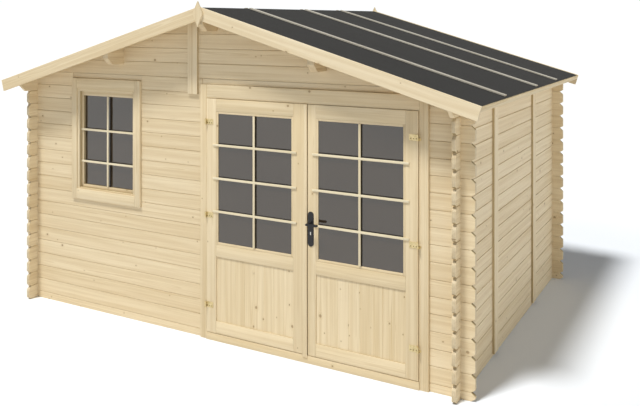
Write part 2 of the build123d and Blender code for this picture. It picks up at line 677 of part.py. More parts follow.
# Left leaf
with BuildPart() as door_left_stiles:
    block(LEFT_LEAF_EDGE, LEFT_STILE_INNER, LEAF_FACE, LEAF_BACK, LEAF_FOOT, LEAF_TOP)
    block(LEFT_STILE_INNER, LEFT_STILE_INNER + BEAD, BEAD_FACE, LEAF_BACK, MIDDLE_RAIL_TOP, TOP_RAIL_FOOT)
    block(LEFT_LOCK_INNER, MEETING_LEFT, LEAF_FACE, LEAF_BACK, LEAF_FOOT, LEAF_TOP)
    block(LEFT_LOCK_INNER - BEAD, LEFT_LOCK_INNER, BEAD_FACE, LEAF_BACK, MIDDLE_RAIL_TOP, TOP_RAIL_FOOT)
    door_pane(LEFT_STILE_INNER + BEAD, LEFT_LOCK_INNER - BEAD, Mode.SUBTRACT)
    door_panel(LEFT_STILE_INNER, LEFT_LOCK_INNER, Mode.SUBTRACT)

with BuildPart() as door_left_rails:
    leaf_rails(LEFT_STILE_INNER, LEFT_LOCK_INNER)

with BuildPart() as door_left_glass:
    door_pane(LEFT_STILE_INNER + BEAD, LEFT_LOCK_INNER - BEAD)

with BuildPart() as door_left_panel:
    door_panel(LEFT_STILE_INNER, LEFT_LOCK_INNER)

with BuildPart() as door_left_bars:
    pane_left = LEFT_STILE_INNER + BEAD
    glazing_bars(pane_left, LEFT_LOCK_INNER - BEAD, pane_left - DOOR_BAR_LAP)

with BuildPart() as door_left_strip:
    block(STRIP_LEFT, STRIP_RIGHT, LEAF_FACE - STRIP_PROUD, LEAF_FACE, STRIP_FOOT, LEAF_TOP)


# Right leaf, with its meeting edge bevelled to swing past the left one
def spindle_hole(radius, front, back):
    with BuildSketch(Plane.XZ.offset(-front)) as section:
        with Locations((LOCK_X, SPINDLE_Z)):
            Circle(radius)
    extrude(section.sketch, amount=front - back, mode=Mode.SUBTRACT)


with BuildPart() as door_right_stiles:
    with BuildSketch(Plane.XY.offset(LEAF_FOOT)):
        Polygon(
            (MEETING_RIGHT, LEAF_FACE),
            (RIGHT_LOCK_INNER, LEAF_FACE),
            (RIGHT_LOCK_INNER, LEAF_BACK),
            (MEETING_RIGHT + MEETING_BEVEL, LEAF_BACK),
            align=None,
        )
    extrude(amount=LEAF_TOP - LEAF_FOOT)
    block(RIGHT_LOCK_INNER, RIGHT_LOCK_INNER + BEAD, BEAD_FACE, LEAF_BACK, MIDDLE_RAIL_TOP, TOP_RAIL_FOOT)
    block(RIGHT_STILE_INNER, RIGHT_LEAF_EDGE, LEAF_FACE, LEAF_BACK, LEAF_FOOT, LEAF_TOP)
    block(RIGHT_STILE_INNER - BEAD, RIGHT_STILE_INNER, BEAD_FACE, LEAF_BACK, MIDDLE_RAIL_TOP, TOP_RAIL_FOOT)
    door_pane(RIGHT_LOCK_INNER + BEAD, RIGHT_STILE_INNER - BEAD, Mode.SUBTRACT)
    door_panel(RIGHT_LOCK_INNER, RIGHT_STILE_INNER, Mode.SUBTRACT)
    spindle_hole(SPINDLE_RADIUS + SPINDLE_CLEARANCE, LEAF_FACE, LEAF_BACK)

with BuildPart() as door_right_rails:
    leaf_rails(RIGHT_LOCK_INNER, RIGHT_STILE_INNER)

with BuildPart() as door_right_glass:
    door_pane(RIGHT_LOCK_INNER + BEAD, RIGHT_STILE_INNER - BEAD)

with BuildPart() as door_right_panel:
    door_panel(RIGHT_LOCK_INNER, RIGHT_STILE_INNER)

with BuildPart() as door_right_bars:
    pane_left = RIGHT_LOCK_INNER + BEAD
    clear_of_plate = LOCK_X + LOCK_PLATE_WIDE / 2 + BAR_OFF_PLATE
    glazing_bars(pane_left, RIGHT_STILE_INNER - BEAD, clear_of_plate)

# Lock plates outside and inside, rounded at both ends
with BuildPart() as lock_plates:
    for front in (LEAF_FACE - LOCK_PLATE, LEAF_BACK):
        with BuildSketch(Plane.XZ.offset(-front)):
            with Locations((LOCK_X, LOCK_PLATE_Z)):
                SlotOverall(LOCK_PLATE_HIGH, LOCK_PLATE_WIDE, rotation=90)
            with Locations((LOCK_X, SPINDLE_Z)):
                Circle(SPINDLE_RADIUS + SPINDLE_CLEARANCE, mode=Mode.SUBTRACT)
        extrude(amount=-LOCK_PLATE)

# Lever handles outside and inside on one spindle
with BuildPart() as handle_lever:
    lever_front = LEAF_FACE - LOCK_PLATE - LEVER_STAND
    lever_back = LEAF_BACK + LOCK_PLATE + LEVER_STAND
    with BuildSketch(Plane.XZ.offset(-lever_front)):
        with Locations((LOCK_X, SPINDLE_Z)):
            Circle(SPINDLE_RADIUS)
    extrude(amount=lever_front - lever_back)
    for near in (lever_front - LEVER, lever_back):
        with BuildSketch(Plane.XZ.offset(-near)):
            with Locations((LOCK_X - LEVER_HEEL + LEVER_LONG / 2, SPINDLE_Z)):
                SlotOverall(LEVER_LONG, 2 * SPINDLE_RADIUS)
        extrude(amount=-LEVER)


# Hinges
def bore(x, radius, low, high, mode):
    with BuildSketch(Plane.XY.offset(low)) as section:
        with Locations((x, PIN_Y)):
            Circle(radius)
    extrude(section.sketch, amount=high - low, mode=mode)


def leaf_hinge(x, side):
    # side is +1 where the leaf lies towards +X from the pin
    for height in (HINGE_HIGH, HINGE_MIDDLE, HINGE_LOW):
        foot = height - HINGE_TALL / 2
        high = height + HINGE_TALL / 2
        low = high - KNUCKLE_HIGH
        web = x + side * PIN_SETBACK
        plate_end = web + side * HINGE_PLATE_LONG
        web_end = web + side * HINGE_WEB
        block(min(web, web_end), max(web, web_end), PIN_Y, LEAF_FACE, low, high)
        block(min(web, plate_end), max(web, plate_end), LEAF_FACE - HINGE_PLATE, LEAF_FACE, foot, high)
        bore(x, KNUCKLE_RADIUS, low, high, Mode.ADD)
        bore(x, PIN_RADIUS + PIN_CLEARANCE, low - 1, high + 1, Mode.SUBTRACT)


def casing_hinge(x, side, jamb_inner):
    for height in (HINGE_HIGH, HINGE_MIDDLE, HINGE_LOW):
        low = height - HINGE_TALL / 2
        pin_top = height + HINGE_TALL / 2 + KNUCKLE_GAP
        high = height + HINGE_TALL / 2 - KNUCKLE_HIGH - KNUCKLE_GAP
        flange_end = jamb_inner - side * CASING_FLANGE
        web_end = jamb_inner - side * HINGE_WEB
        block(min(jamb_inner, web_end), max(jamb_inner, web_end), PIN_Y, CASING_FACE, low, high)
        left = min(jamb_inner, flange_end)
        right = max(jamb_inner, flange_end)
        block(left, right, CASING_FACE - HINGE_PLATE, CASING_FACE, low, high)
        bore(x, KNUCKLE_RADIUS, low, high, Mode.ADD)
        bore(x, PIN_RADIUS, high, pin_top, Mode.ADD)


with BuildPart() as door_left_hinges:
    leaf_hinge(LEFT_PIN_X, 1)

with BuildPart() as door_right_hinges:
    leaf_hinge(RIGHT_PIN_X, -1)

with BuildPart() as hinge_pins:
    casing_hinge(LEFT_PIN_X, 1, LEFT_JAMB_INNER)
    casing_hinge(RIGHT_PIN_X, -1, RIGHT_JAMB_INNER)

# One file for each piece
left_wall.part.label = "left_wall"
export_step(left_wall.part, "parts/left_wall.step")
right_wall.part.label = "right_wall"
export_step(right_wall.part, "parts/right_wall.step")
back_wall.part.label = "back_wall"
export_step(back_wall.part, "parts/back_wall.step")
front_wall_left.part.label = "front_wall_left"
export_step(front_wall_left.part, "parts/front_wall_left.step")
front_wall_right.part.label = "front_wall_right"
export_step(front_wall_right.part, "parts/front_wall_right.step")
front_gable.part.label = "front_gable"
export_step(front_gable.part, "parts/front_gable.step")
eave_boards.part.label = "eave_boards"
export_step(eave_boards.part, "parts/eave_boards.step")
ridge_purlin.part.label = "ridge_purlin"
export_step(ridge_purlin.part, "parts/ridge_purlin.step")
side_purlins.part.label = "side_purlins"
export_step(side_purlins.part, "parts/side_purlins.step")
roof_boards_left.part.label = "roof_boards_left"
export_step(roof_boards_left.part, "parts/roof_boards_left.step")
roof_boards_right.part.label = "roof_boards_right"
export_step(roof_boards_right.part, "parts/roof_boards_right.step")
roof_felt_left.part.label = "roof_felt_left"
export_step(roof_felt_left.part, "parts/roof_felt_left.step")
roof_felt_right.part.label = "roof_felt_right"
export_step(roof_felt_right.part, "parts/roof_felt_right.step")
eave_trims.part.label = "eave_trims"
export_step(eave_trims.part, "parts/eave_trims.step")
felt_laths.part.label = "felt_laths"
export_step(felt_laths.part, "parts/felt_laths.step")
barge_boards.part.label = "barge_boards"
export_step(barge_boards.part, "parts/barge_boards.step")
finials.part.label = "finials"
export_step(finials.part, "parts/finials.step")
side_cover_boards.part.label = "side_cover_boards"
export_step(side_cover_boards.part, "parts/side_cover_boards.step")
gable_cover_boards.part.label = "gable_cover_boards"
export_step(gable_cover_boards.part, "parts/gable_cover_boards.step")
gap_boards.part.label = "gap_boards"
export_step(gap_boards.part, "parts/gap_boards.step")
door_side_casings.part.label = "door_side_casings"
export_step(door_side_casings.part, "parts/door_side_casings.step")
door_head_casing.part.label = "door_head_casing"
export_step(door_head_casing.part, "parts/door_head_casing.step")
door_threshold.part.label = "door_threshold"
export_step(door_threshold.part, "parts/door_threshold.step")
window_side_casings.part.label = "window_side_casings"
export_step(window_side_casings.part, "parts/window_side_casings.step")
window_cross_casings.part.label = "window_cross_casings"
export_step(window_cross_casings.part, "parts/window_cross_casings.step")
window_frame.part.label = "window_frame"
export_step(window_frame.part, "parts/window_frame.step")
window_sash.part.label = "window_sash"
export_step(window_sash.part, "parts/window_sash.step")
window_glass.part.label = "window_glass"
export_step(window_glass.part, "parts/window_glass.step")
window_bars.part.label = "window_bars"
export_step(window_bars.part, "parts/window_bars.step")
door_left_stiles.part.label = "door_left_stiles"
export_step(door_left_stiles.part, "parts/door_left_stiles.step")
door_left_rails.part.label = "door_left_rails"
export_step(door_left_rails.part, "parts/door_left_rails.step")
door_left_glass.part.label = "door_left_glass"
export_step(door_left_glass.part, "parts/door_left_glass.step")
door_left_panel.part.label = "door_left_panel"
export_step(door_left_panel.part, "parts/door_left_panel.step")
door_left_bars.part.label = "door_left_bars"
export_step(door_left_bars.part, "parts/door_left_bars.step")
door_left_strip.part.label = "door_left_strip"
export_step(door_left_strip.part, "parts/door_left_strip.step")
door_left_hinges.part.label = "door_left_hinges"
export_step(door_left_hinges.part, "parts/door_left_hinges.step")
door_right_stiles.part.label = "door_right_stiles"
export_step(door_right_stiles.part, "parts/door_right_stiles.step")
door_right_rails.part.label = "door_right_rails"
export_step(door_right_rails.part, "parts/door_right_rails.step")
door_right_glass.part.label = "door_right_glass"
export_step(door_right_glass.part, "parts/door_right_glass.step")
door_right_panel.part.label = "door_right_panel"
export_step(door_right_panel.part, "parts/door_right_panel.step")
door_right_bars.part.label = "door_right_bars"
export_step(door_right_bars.part, "parts/door_right_bars.step")
door_right_hinges.part.label = "door_right_hinges"
export_step(door_right_hinges.part, "parts/door_right_hinges.step")
lock_plates.part.label = "lock_plates"
export_step(lock_plates.part, "parts/lock_plates.step")
handle_lever.part.label = "handle_lever"
export_step(handle_lever.part, "parts/handle_lever.step")
hinge_pins.part.label = "hinge_pins"
export_step(hinge_pins.part, "parts/hinge_pins.step")
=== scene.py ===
import math
import random

import bmesh
import bpy
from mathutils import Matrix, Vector


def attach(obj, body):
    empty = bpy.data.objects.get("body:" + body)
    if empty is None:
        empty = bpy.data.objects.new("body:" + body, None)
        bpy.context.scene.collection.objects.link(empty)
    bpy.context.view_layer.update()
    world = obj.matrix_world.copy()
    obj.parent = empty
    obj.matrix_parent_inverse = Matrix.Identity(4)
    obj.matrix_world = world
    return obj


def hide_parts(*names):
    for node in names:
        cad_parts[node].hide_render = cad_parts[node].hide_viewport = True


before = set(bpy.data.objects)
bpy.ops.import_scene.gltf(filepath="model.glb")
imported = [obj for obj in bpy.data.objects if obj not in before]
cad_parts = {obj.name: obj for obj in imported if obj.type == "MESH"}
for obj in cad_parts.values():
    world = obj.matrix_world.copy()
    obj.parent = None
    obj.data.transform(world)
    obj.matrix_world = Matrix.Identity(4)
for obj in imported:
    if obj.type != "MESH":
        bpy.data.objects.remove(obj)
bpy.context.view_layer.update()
rng = random.Random(41)

# Sizes in millimetres, the same as the part's own
PITCH = 116.8
WALL = 28
HALF_WIDTH = 2000
HALF_DEPTH = 1400
LOG_END = 100
TIP = HALF_WIDTH + LOG_END
SIDE_TIP = HALF_DEPTH + LOG_END
SIDE_BOARDS = 16
EAVE_BOARD_BOTTOM = SIDE_BOARDS * PITCH
FRONT_TOP_JOINT = (SIDE_BOARDS + 1.5) * PITCH
ROOF_FALL = 0.292
ANGLE = math.atan(ROOF_FALL)
EAVE_BOARD = 127.3
ROOF_BOARD = 18
FELT = 3
EAVE_REACH = 205
GABLE_REACH = 190
UNDER_APEX = EAVE_BOARD_BOTTOM + EAVE_BOARD + ROOF_FALL * HALF_WIDTH
BOARDS_APEX = UNDER_APEX + ROOF_BOARD / math.cos(ANGLE)
FELT_APEX = BOARDS_APEX + FELT / math.cos(ANGLE)
HALF_SPAN = HALF_WIDTH + EAVE_REACH
REACH = HALF_DEPTH + GABLE_REACH
SLANT_LONG, SLANT_HIGH = 58, 54
PURLIN_HALF = 28
PURLIN_HIGH = 162
SIDE_PURLIN_X = 968
EAVE_TRIM = 16
EAVE_TRIM_HIGH = 35
LATH_HALF = 22
LATH_HIGH = 11
LATH_TOP, LATH_FOOT = 18, 35
BARGE = 16
BARGE_WIDE = 100
BARGE_RISE = 6
MITRE_GAP = 0.5
KITE = ((0, 48), (47, -48), (0, -153), (-47, -48))
COVER = 18
COVER_HALF = 48
COVER_FOOT = 22
SIDE_COVERS_Y = (-614, 583)
ABOVE_EAVE, ABOVE_RIDGE = 2010, 2600
GABLE_COVER = (-253.5, -157.5)
GABLE_COVER_FOOT = 1916
GAP_FACE, GAP_BACK = -1392, -1374
CASING_FACE = -1418
CASING_BACK = -1350
CASING_TOP = 1998
WINDOW = (-1528, -748, 948)
FIXED = (-1468, -808, 1036, 1910)
SASH = (-1443, -833, 1050, 1885)
PANE = (-1420, -860, 1070, 1847)
FIXED_FACE = -1410
SASH_FACE = -1381
SASH_BACK = -1337
WINDOW_GLASS_FACE = -1361
WINDOW_BARS = (1274, 1551)
WINDOW_BAR_X = (-1145, -1127)
DOOR = (-125, 1783)
JAMBS = (-63, 1717)
HEAD_FOOT = 1895
SILL_TOP = 57
STOP = 18
STOP_FACE = -1380
STOP_TOP = 1877
LEAF_FACE = -1426
LEAF_BACK = -1386
LEAF_FOOT = 62
LEAF_TOP = 1890
LEFT_LEAF = (-57, 34, 732, 846)
RIGHT_LEAF = (856, 922, 1620, 1711)
TOP_RAIL_FOOT = 1793
MIDDLE_RAIL = (660, 755)
FOOT_RAIL_TOP = 158
BEAD = 18
BEAD_BACKSET = 2
PANEL_TONGUE = 8
PANEL_BACK = 34
BAR = 8
BAR_HALF = 9
BAR_LAP = 46
UPRIGHT_BAR = 7.5
BAR_OFF_CENTRE = 4
SHORT_BAR_START = 909
STRIP = (812, 850)
STRIP_FOOT = 45
PLATE_FACE = -1430
LOCK_X = 881
HINGES = (1710, 980, 277)

# Sizes that are the scene's own, chosen to meet the photograph
END_DEEP = 28
END_TOP_CUT = 26
END_BOTTOM_CUT = 18
JOINT = {"x": 2.0, "y": 1.5}
CHAMFER = {"x": 2.4, "y": 1.6}
TONGUE_HALF = 4
TONGUE_DEEP = 8
TONGUE_SHORT = 32
ROOF_BOARDS = 34
LATHS = (-920, 13, 752)
EAVE_TRIM_DROP = 5
LIP_FACE, LIP_BACK = -1414, -1396
SIDE_LIP = 4.5
LEVEL_LIP = 3.5
LIP_SHORT = 5
SILL_FACE = -1425
PANEL_BOARDS = 8
PANEL_BACKSET = 8
LEAF_BARS = (1014, 1271, 1530)
# sizes of the dark strips of painted shade on the glass beside the bars
BAR_SHADE_LOW = 7
WINDOW_SHADE_HIGH = 12
WINDOW_SHADE_X = (-1134, -1122)
LEAF_SHADE_HIGH = (14, 15.5, 17)
LEAF_SHADE_NEAR, LEAF_SHADE_FAR = 11, 16
LEAF_SHADE_FACE, LEAF_SHADE_BACK = 7.5, 9
KEYHOLE = (942, 965)
KEYHOLE_HALF = 4
KEYHOLE_PROUD = 1.5
SCREWS = {"left": (-6, -26, -46), "right": (1660, 1680, 1700)}
SCREW_RADIUS = 4.5
SCREW_LOW = 8

# Light
SUN_POWER, SUN_WIDTH = 3.0, 10.5
SUN_AZIMUTH, SUN_HEIGHT = 22, 65.3
SOFT_RIGHT, SOFT_ROUND, SOFT_CEILING = 1.4, 0.35, 0.05
BACKGROUND = 1.04

ALONG_X = (1, 0, 0)
ALONG_Y = (0, 1, 0)
UP = (0, 0, 1)


# Shapes
def prism(points, axis, low, high):
    # solid between two planes square to axis; the outline is in the other two axes
    made = bmesh.new()
    rings = []
    for depth in (low, high):
        ring = []
        for a, b in points:
            place = {"x": (depth, a, b), "y": (a, depth, b), "z": (a, b, depth)}[axis]
            ring.append(made.verts.new(Vector(place) / 1000))
        rings.append(ring)
    made.faces.new(rings[0])
    made.faces.new(rings[1])
    for i in range(len(points)):
        j = (i + 1) % len(points)
        made.faces.new((rings[0][i], rings[0][j], rings[1][j], rings[1][i]))
    bmesh.ops.recalc_face_normals(made, faces=made.faces)
    return made


def box(x0, x1, y0, y1, z0, z1):
    return prism([(x0, z0), (x1, z0), (x1, z1), (x0, z1)], "y", y0, y1)


class Boards:
    """Boards gathered into one piece, each with its own stretch of grain."""

    SHARP = math.radians(35)
    ON_END = 0.75
    ON_CUT = 0.95
    ON_SIDE = 0.3
    LEAST_CUT = 1.5e-4

    def __init__(self):
        self.verts = []
        self.faces = []
        self.grain = []
        self.board = []
        self.slots = []

    def add(self, made, grain, thick, bevel=1.2, segments=1, limit=None, dark=None):
        # dark says which narrow faces take the third material, a darker copy painted as shade: slanted
        # "cuts" at the ends or long "edges"
        grain = Vector(grain).normalized()
        thick = Vector(thick).normalized()
        across = thick.cross(grain)
        bmesh.ops.bevel(
            made,
            geom=list(made.edges),
            offset=bevel / 1000,
            segments=segments,
            profile=0.5,
            affect="EDGES",
            clamp_overlap=True,
        )
        middle = Vector((0, 0, 0))
        for vert in made.verts:
            middle += vert.co / len(made.verts)
        if limit:
            for vert in made.verts:
                vert.co.z = min(vert.co.z, limit(vert.co.x))
        made.normal_update()
        shift = rng.uniform(0, 40)
        seed = rng.random()
        first = len(self.verts)
        made.verts.index_update()
        for vert in made.verts:
            self.verts.append(vert.co.copy())
        for face in made.faces:
            self.faces.append([first + vert.index for vert in face.verts])
            facing_end = abs(face.normal.dot(grain))
            narrow = abs(face.normal.dot(thick)) < self.ON_SIDE
            slanted = self.ON_SIDE < facing_end < self.ON_CUT
            slot = 1 if facing_end > self.ON_END else 0
            if dark == "cuts" and narrow and slanted and face.calc_area() > self.LEAST_CUT:
                # cuts take painted shade; on the side walls the cuts that look up stay as light as the ends
                slot = 1 if abs(grain.y) > 0.5 and face.normal.z > 0 else 2
            # long narrow faces take painted shade
            if dark == "edges" and narrow and facing_end < self.ON_SIDE:
                slot = 2
            self.slots.append(slot)
            for vert in face.verts:
                at = vert.co - middle
                self.grain.append((at.dot(grain) + shift, at.dot(across)))
                self.board.append((at.dot(thick), seed))
        made.free()

    def piece(self, name, body, materials, slot, replaces=()):
        mesh = bpy.data.meshes.new(name)
        mesh.from_pydata(self.verts, [], self.faces)
        for title, values in (("grain", self.grain), ("board", self.board)):
            layer = mesh.uv_layers.new(name=title)
            layer.data.foreach_set("uv", [part for pair in values for part in pair])
        mesh.polygons.foreach_set("material_index", self.slots)
        for material in materials:
            mesh.materials.append(material)
        mesh.shade_smooth()
        mesh.set_sharp_from_angle(angle=self.SHARP)
        made = bpy.data.objects.new(name, mesh)
        bpy.context.scene.collection.objects.link(made)
        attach(made, body)
        if replaces:
            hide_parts(*replaces)
        return made


# Material building
def linear(red, green, blue):
    values = []
    for value in (red, green, blue):
        value = value / 255
        values.append(value / 12.92 if value <= 0.04045 else ((value + 0.055) / 1.055) ** 2.4)
    return (*values, 1.0)


class Graph:
    """The node tree of a material or of the world, built with short calls."""

    def __init__(self, owner):
        self.owner = owner
        owner.use_nodes = True
        self.tree = owner.node_tree
        self.tree.nodes.clear()

    def node(self, kind, settings=None, sockets=None):
        made = self.tree.nodes.new(kind)
        for key, value in (settings or {}).items():
            setattr(made, key, value)
        for key, value in (sockets or {}).items():
            if isinstance(value, bpy.types.NodeSocket):
                self.tree.links.new(value, made.inputs[key])
            else:
                made.inputs[key].default_value = value
        return made

    def math(self, operation, first, second=0.0, third=0.0):
        sockets = {0: first, 1: second, 2: third}
        return self.node("ShaderNodeMath", {"operation": operation}, sockets).outputs[0]

    def vector(self, x, y, z=0.0):
        return self.node("ShaderNodeCombineXYZ", None, {0: x, 1: y, 2: z}).outputs[0]

    def noise(self, place, scale, detail=2.0, rough=0.5):
        sockets = {"Vector": place, "Scale": scale, "Detail": detail, "Roughness": rough}
        return self.node("ShaderNodeTexNoise", None, sockets).outputs["Fac"]

    def band(self, value, low, high, start=0.0, end=1.0):
        settings = {"interpolation_type": "SMOOTHSTEP"}
        sockets = {"Value": value, "From Min": low, "From Max": high, "To Min": start, "To Max": end}
        return self.node("ShaderNodeMapRange", settings, sockets).outputs[0]

    def mix(self, amount, first, second, blend="MIX"):
        made = self.node("ShaderNodeMix", {"data_type": "RGBA", "blend_type": blend})
        for key, value in ((0, amount), (6, first), (7, second)):
            if isinstance(value, bpy.types.NodeSocket):
                self.tree.links.new(value, made.inputs[key])
            else:
                made.inputs[key].default_value = value
        return made.outputs[2]

    def ramp(self, value, stops):
        made = self.node("ShaderNodeValToRGB", None, {"Fac": value})
        steps = made.color_ramp.elements
        while len(steps) < len(stops):
            steps.new(0.5)
        for step, (place, colour) in zip(steps, stops):
            step.position = place
            step.color = colour
        return made.outputs["Color"]

    def surface(self, height, distance, **sockets):
        bump = self.node("ShaderNodeBump", None, {"Height": height, "Strength": 1.0, "Distance": distance})
        names = {key.replace("_", " "): value for key, value in sockets.items()}
        shader = self.node("ShaderNodeBsdfPrincipled", None, names)
        self.tree.links.new(bump.outputs[0], shader.inputs["Normal"])
        out = self.node("ShaderNodeOutputMaterial")
        self.tree.links.new(shader.outputs[0], out.inputs[0])
        return self.owner


def new_material(name):
    return Graph(bpy.data.materials.new(name))


def timber(name, light, dark, knots=0.5, rings=1.0, end=False):
    """Planed softwood: rings about a pith, fibres, streaks and knots, by each board's own coordinates."""
    graph = new_material(name)
    along = graph.node("ShaderNodeUVMap", {"uv_map": "grain"}).outputs[0]
    board = graph.node("ShaderNodeUVMap", {"uv_map": "board"}).outputs[0]
    first = graph.node("ShaderNodeSeparateXYZ", None, {0: along})
    second = graph.node("ShaderNodeSeparateXYZ", None, {0: board})
    u, v = first.outputs[0], first.outputs[1]
    w, seed = second.outputs[0], second.outputs[1]
    apart = graph.math("MULTIPLY", seed, 61.7)

    def hashed(factor):
        return graph.math("FRACT", graph.math("MULTIPLY", seed, factor))

    # knots: sparse cells, each with its own size
    cell_u, cell_v = 0.33, 0.085
    cells = graph.vector(
        graph.math("DIVIDE", u, cell_u),
        graph.math("DIVIDE", graph.math("ADD", v, apart), cell_v),
    )
    found = graph.node("ShaderNodeTexVoronoi", {"voronoi_dimensions": "2D"}, {"Vector": cells, "Scale": 1.0})
    offset = graph.node(
        "ShaderNodeVectorMath",
        {"operation": "SUBTRACT"},
        {0: cells, 1: found.outputs["Position"]},
    )
    scaled = graph.node(
        "ShaderNodeVectorMath",
        {"operation": "MULTIPLY"},
        {0: offset.outputs[0], 1: (cell_u / 1.25, cell_v, 0.0)},
    )
    length = graph.node("ShaderNodeVectorMath", {"operation": "LENGTH"}, {0: scaled.outputs[0]})
    chance = graph.node("ShaderNodeSeparateColor", None, {0: found.outputs["Color"]})
    there = graph.math("LESS_THAN", chance.outputs[2], knots)
    radius = graph.math("MULTIPLY_ADD", graph.math("POWER", chance.outputs[1], 2.6), 0.007, 0.0032)
    size = graph.math("DIVIDE", length.outputs["Value"], radius)
    knot = graph.math("MULTIPLY", there, graph.band(size, 0.8, 1.25, 1.0, 0.0))
    halo = graph.math("MULTIPLY", there, graph.band(size, 1.0, 3.6, 1.0, 0.0))

    # growth rings bend round the knots
    wander = graph.noise(graph.vector(graph.math("MULTIPLY", u, 0.7), apart), 1.0, 1.0)
    centre = graph.math("MULTIPLY_ADD", graph.math("SUBTRACT", hashed(7.13), 0.5), 0.13, -0.03)
    centre = graph.math("MULTIPLY_ADD", wander, 0.06, centre)
    side = graph.math("SUBTRACT", v, centre)
    deep = graph.math("ADD", w, graph.math("MULTIPLY_ADD", hashed(3.7), 0.05, 0.02))
    round_pith = graph.math(
        "SQRT",
        graph.math("ADD", graph.math("MULTIPLY", side, side), graph.math("MULTIPLY", deep, deep)),
    )
    waver = graph.noise(
        graph.vector(graph.math("MULTIPLY", u, 2.2), graph.math("MULTIPLY_ADD", v, 14.0, apart), w), 1.0, 2.0
    )
    round_pith = graph.math("MULTIPLY_ADD", waver, 0.008, round_pith)
    round_pith = graph.math("MULTIPLY_ADD", halo, 0.006, round_pith)
    ring = graph.math("FRACT", graph.math("DIVIDE", round_pith, 0.0042))
    late = graph.math("MULTIPLY", graph.band(ring, 0.35, 0.88), graph.band(ring, 0.9, 1.0, 1.0, 0.0))

    fibres = graph.noise(
        graph.vector(
            graph.math("MULTIPLY", u, 5.0),
            graph.math("MULTIPLY", graph.math("ADD", v, apart), 420.0),
            graph.math("MULTIPLY", w, 420.0),
        ),
        1.0, 3.0, 0.6,
    )
    streaks = graph.noise(
        graph.vector(
            graph.math("MULTIPLY", u, 1.1),
            graph.math("MULTIPLY", graph.math("ADD", v, apart), 42.0),
            graph.math("MULTIPLY", w, 30.0),
        ),
        1.0, 2.0, 0.55,
    )
    shade = graph.math("MULTIPLY", late, 0.34 * rings)
    shade = graph.math("MULTIPLY_ADD", graph.band(streaks, 0.30, 0.72), 0.42, shade)
    shade = graph.math("MULTIPLY_ADD", graph.math("SUBTRACT", fibres, 0.5), 0.30, shade)
    shade = graph.math("MULTIPLY_ADD", hashed(11.3), 0.30, shade)
    shade = graph.math("MULTIPLY_ADD", halo, 0.22, shade)
    wood = graph.ramp(shade, [(0.0, light), (1.0, dark)])
    heart = graph.noise(graph.vector(u, v, w), 260.0, 2.0)
    brown = graph.ramp(heart, [(0.3, linear(118, 90, 58)), (0.75, linear(168, 136, 96))])
    wood = graph.mix(graph.math("MULTIPLY", knot, 0.68), wood, brown)
    if end:
        # saw marks and open grain on cut ends
        marks = graph.vector(graph.math("MULTIPLY", v, 60.0), graph.math("MULTIPLY", w, 900.0))
        saw = graph.noise(marks, 1.0, 2.0)
        wood = graph.mix(graph.band(saw, 0.4, 0.7, 0.0, 0.2), wood, dark, "MULTIPLY")
    height = graph.math("MULTIPLY_ADD", late, 0.3, fibres)
    height = graph.math("MULTIPLY_ADD", knot, 0.5, height)
    rough = graph.band(fibres, 0.2, 0.8, 0.52, 0.72)
    return graph.surface(
        height, 0.0004, Base_Color=wood, Roughness=rough, Specular_IOR_Level=0.32
    )


def woods(name, light, dark, shaded=None, **settings):
    # planed faces, cut ends and, where a piece has them, its shaded narrow faces
    cut_light, cut_dark = linear(225, 210, 179), linear(194, 174, 138)
    made = [
        timber(name, light, dark, **settings),
        timber(name + "_ends", cut_light, cut_dark, end=True, **settings),
    ]
    if shaded:
        made.append(timber(name + "_shaded", *shaded, **settings))
    return made


# darker wood painted as shade, on the slanted cuts of the log ends and on the long narrow faces of trims and
# joinery
notch_painted_shade = (linear(182, 162, 120), linear(146, 126, 86))
edge_painted_shade = (linear(206, 187, 148), linear(160, 138, 98))
wall_wood = woods("wall_pine", linear(239, 223, 190), linear(211, 188, 147), notch_painted_shade, knots=0.26)
trim_wood = woods("trim_pine", linear(240, 225, 194), linear(215, 193, 152), edge_painted_shade, knots=0.24)
joinery_wood = woods("joinery_pine", linear(238, 222, 189), linear(211, 189, 147), edge_painted_shade, knots=0.2)
panel_wood = woods("panel_pine", linear(238, 222, 189), linear(211, 189, 147), knots=0.55)
roof_wood = woods("roof_pine", linear(235, 218, 184), linear(205, 181, 140), knots=0.3)
eave_wood = woods("eave_pine", linear(228, 212, 179), linear(200, 178, 138), edge_painted_shade, knots=0.2)
lath_wood = woods("lath_pine", linear(193, 188, 176), linear(168, 160, 145), knots=0.2)
bar_wood = woods("bar_pine", linear(240, 230, 203), linear(214, 199, 162), knots=0.0)


def felt_material():
    """Bitumen felt with fine slate grit."""
    graph = new_material("grit_felt")
    place = graph.node("ShaderNodeTexCoord").outputs["Object"]
    grit = graph.noise(place, 900.0, 3.0, 0.7)
    cloud = graph.noise(place, 2.2, 3.0, 0.5)
    colour = graph.ramp(grit, [(0.3, linear(18, 17, 16)), (0.7, linear(41, 39, 36))])
    worn = graph.mix(graph.band(cloud, 0.3, 0.7, 0.0, 0.35), colour, linear(37, 36, 33))
    return graph.surface(grit, 0.0008, Base_Color=worn, Roughness=0.92, Specular_IOR_Level=0.25)


def glass_material():
    """Thin clear glass with faint waves, dark from outside: its base colour paints in the shade of the room
    behind it.
    """
    graph = new_material("pane_glass")
    place = graph.node("ShaderNodeTexCoord").outputs["Object"]
    waves = graph.noise(place, 3.0, 1.0)
    dust = graph.noise(place, 40.0, 4.0, 0.6)
    rough = graph.band(dust, 0.4, 0.8, 0.04, 0.09)
    return graph.surface(
        waves, 0.0006,
        # dark warm base colour: painted shade of the dim room behind the pane
        Base_Color=linear(66, 54, 41), Roughness=rough, Transmission_Weight=0.3, IOR=1.92,
        Specular_IOR_Level=0.5,
    )


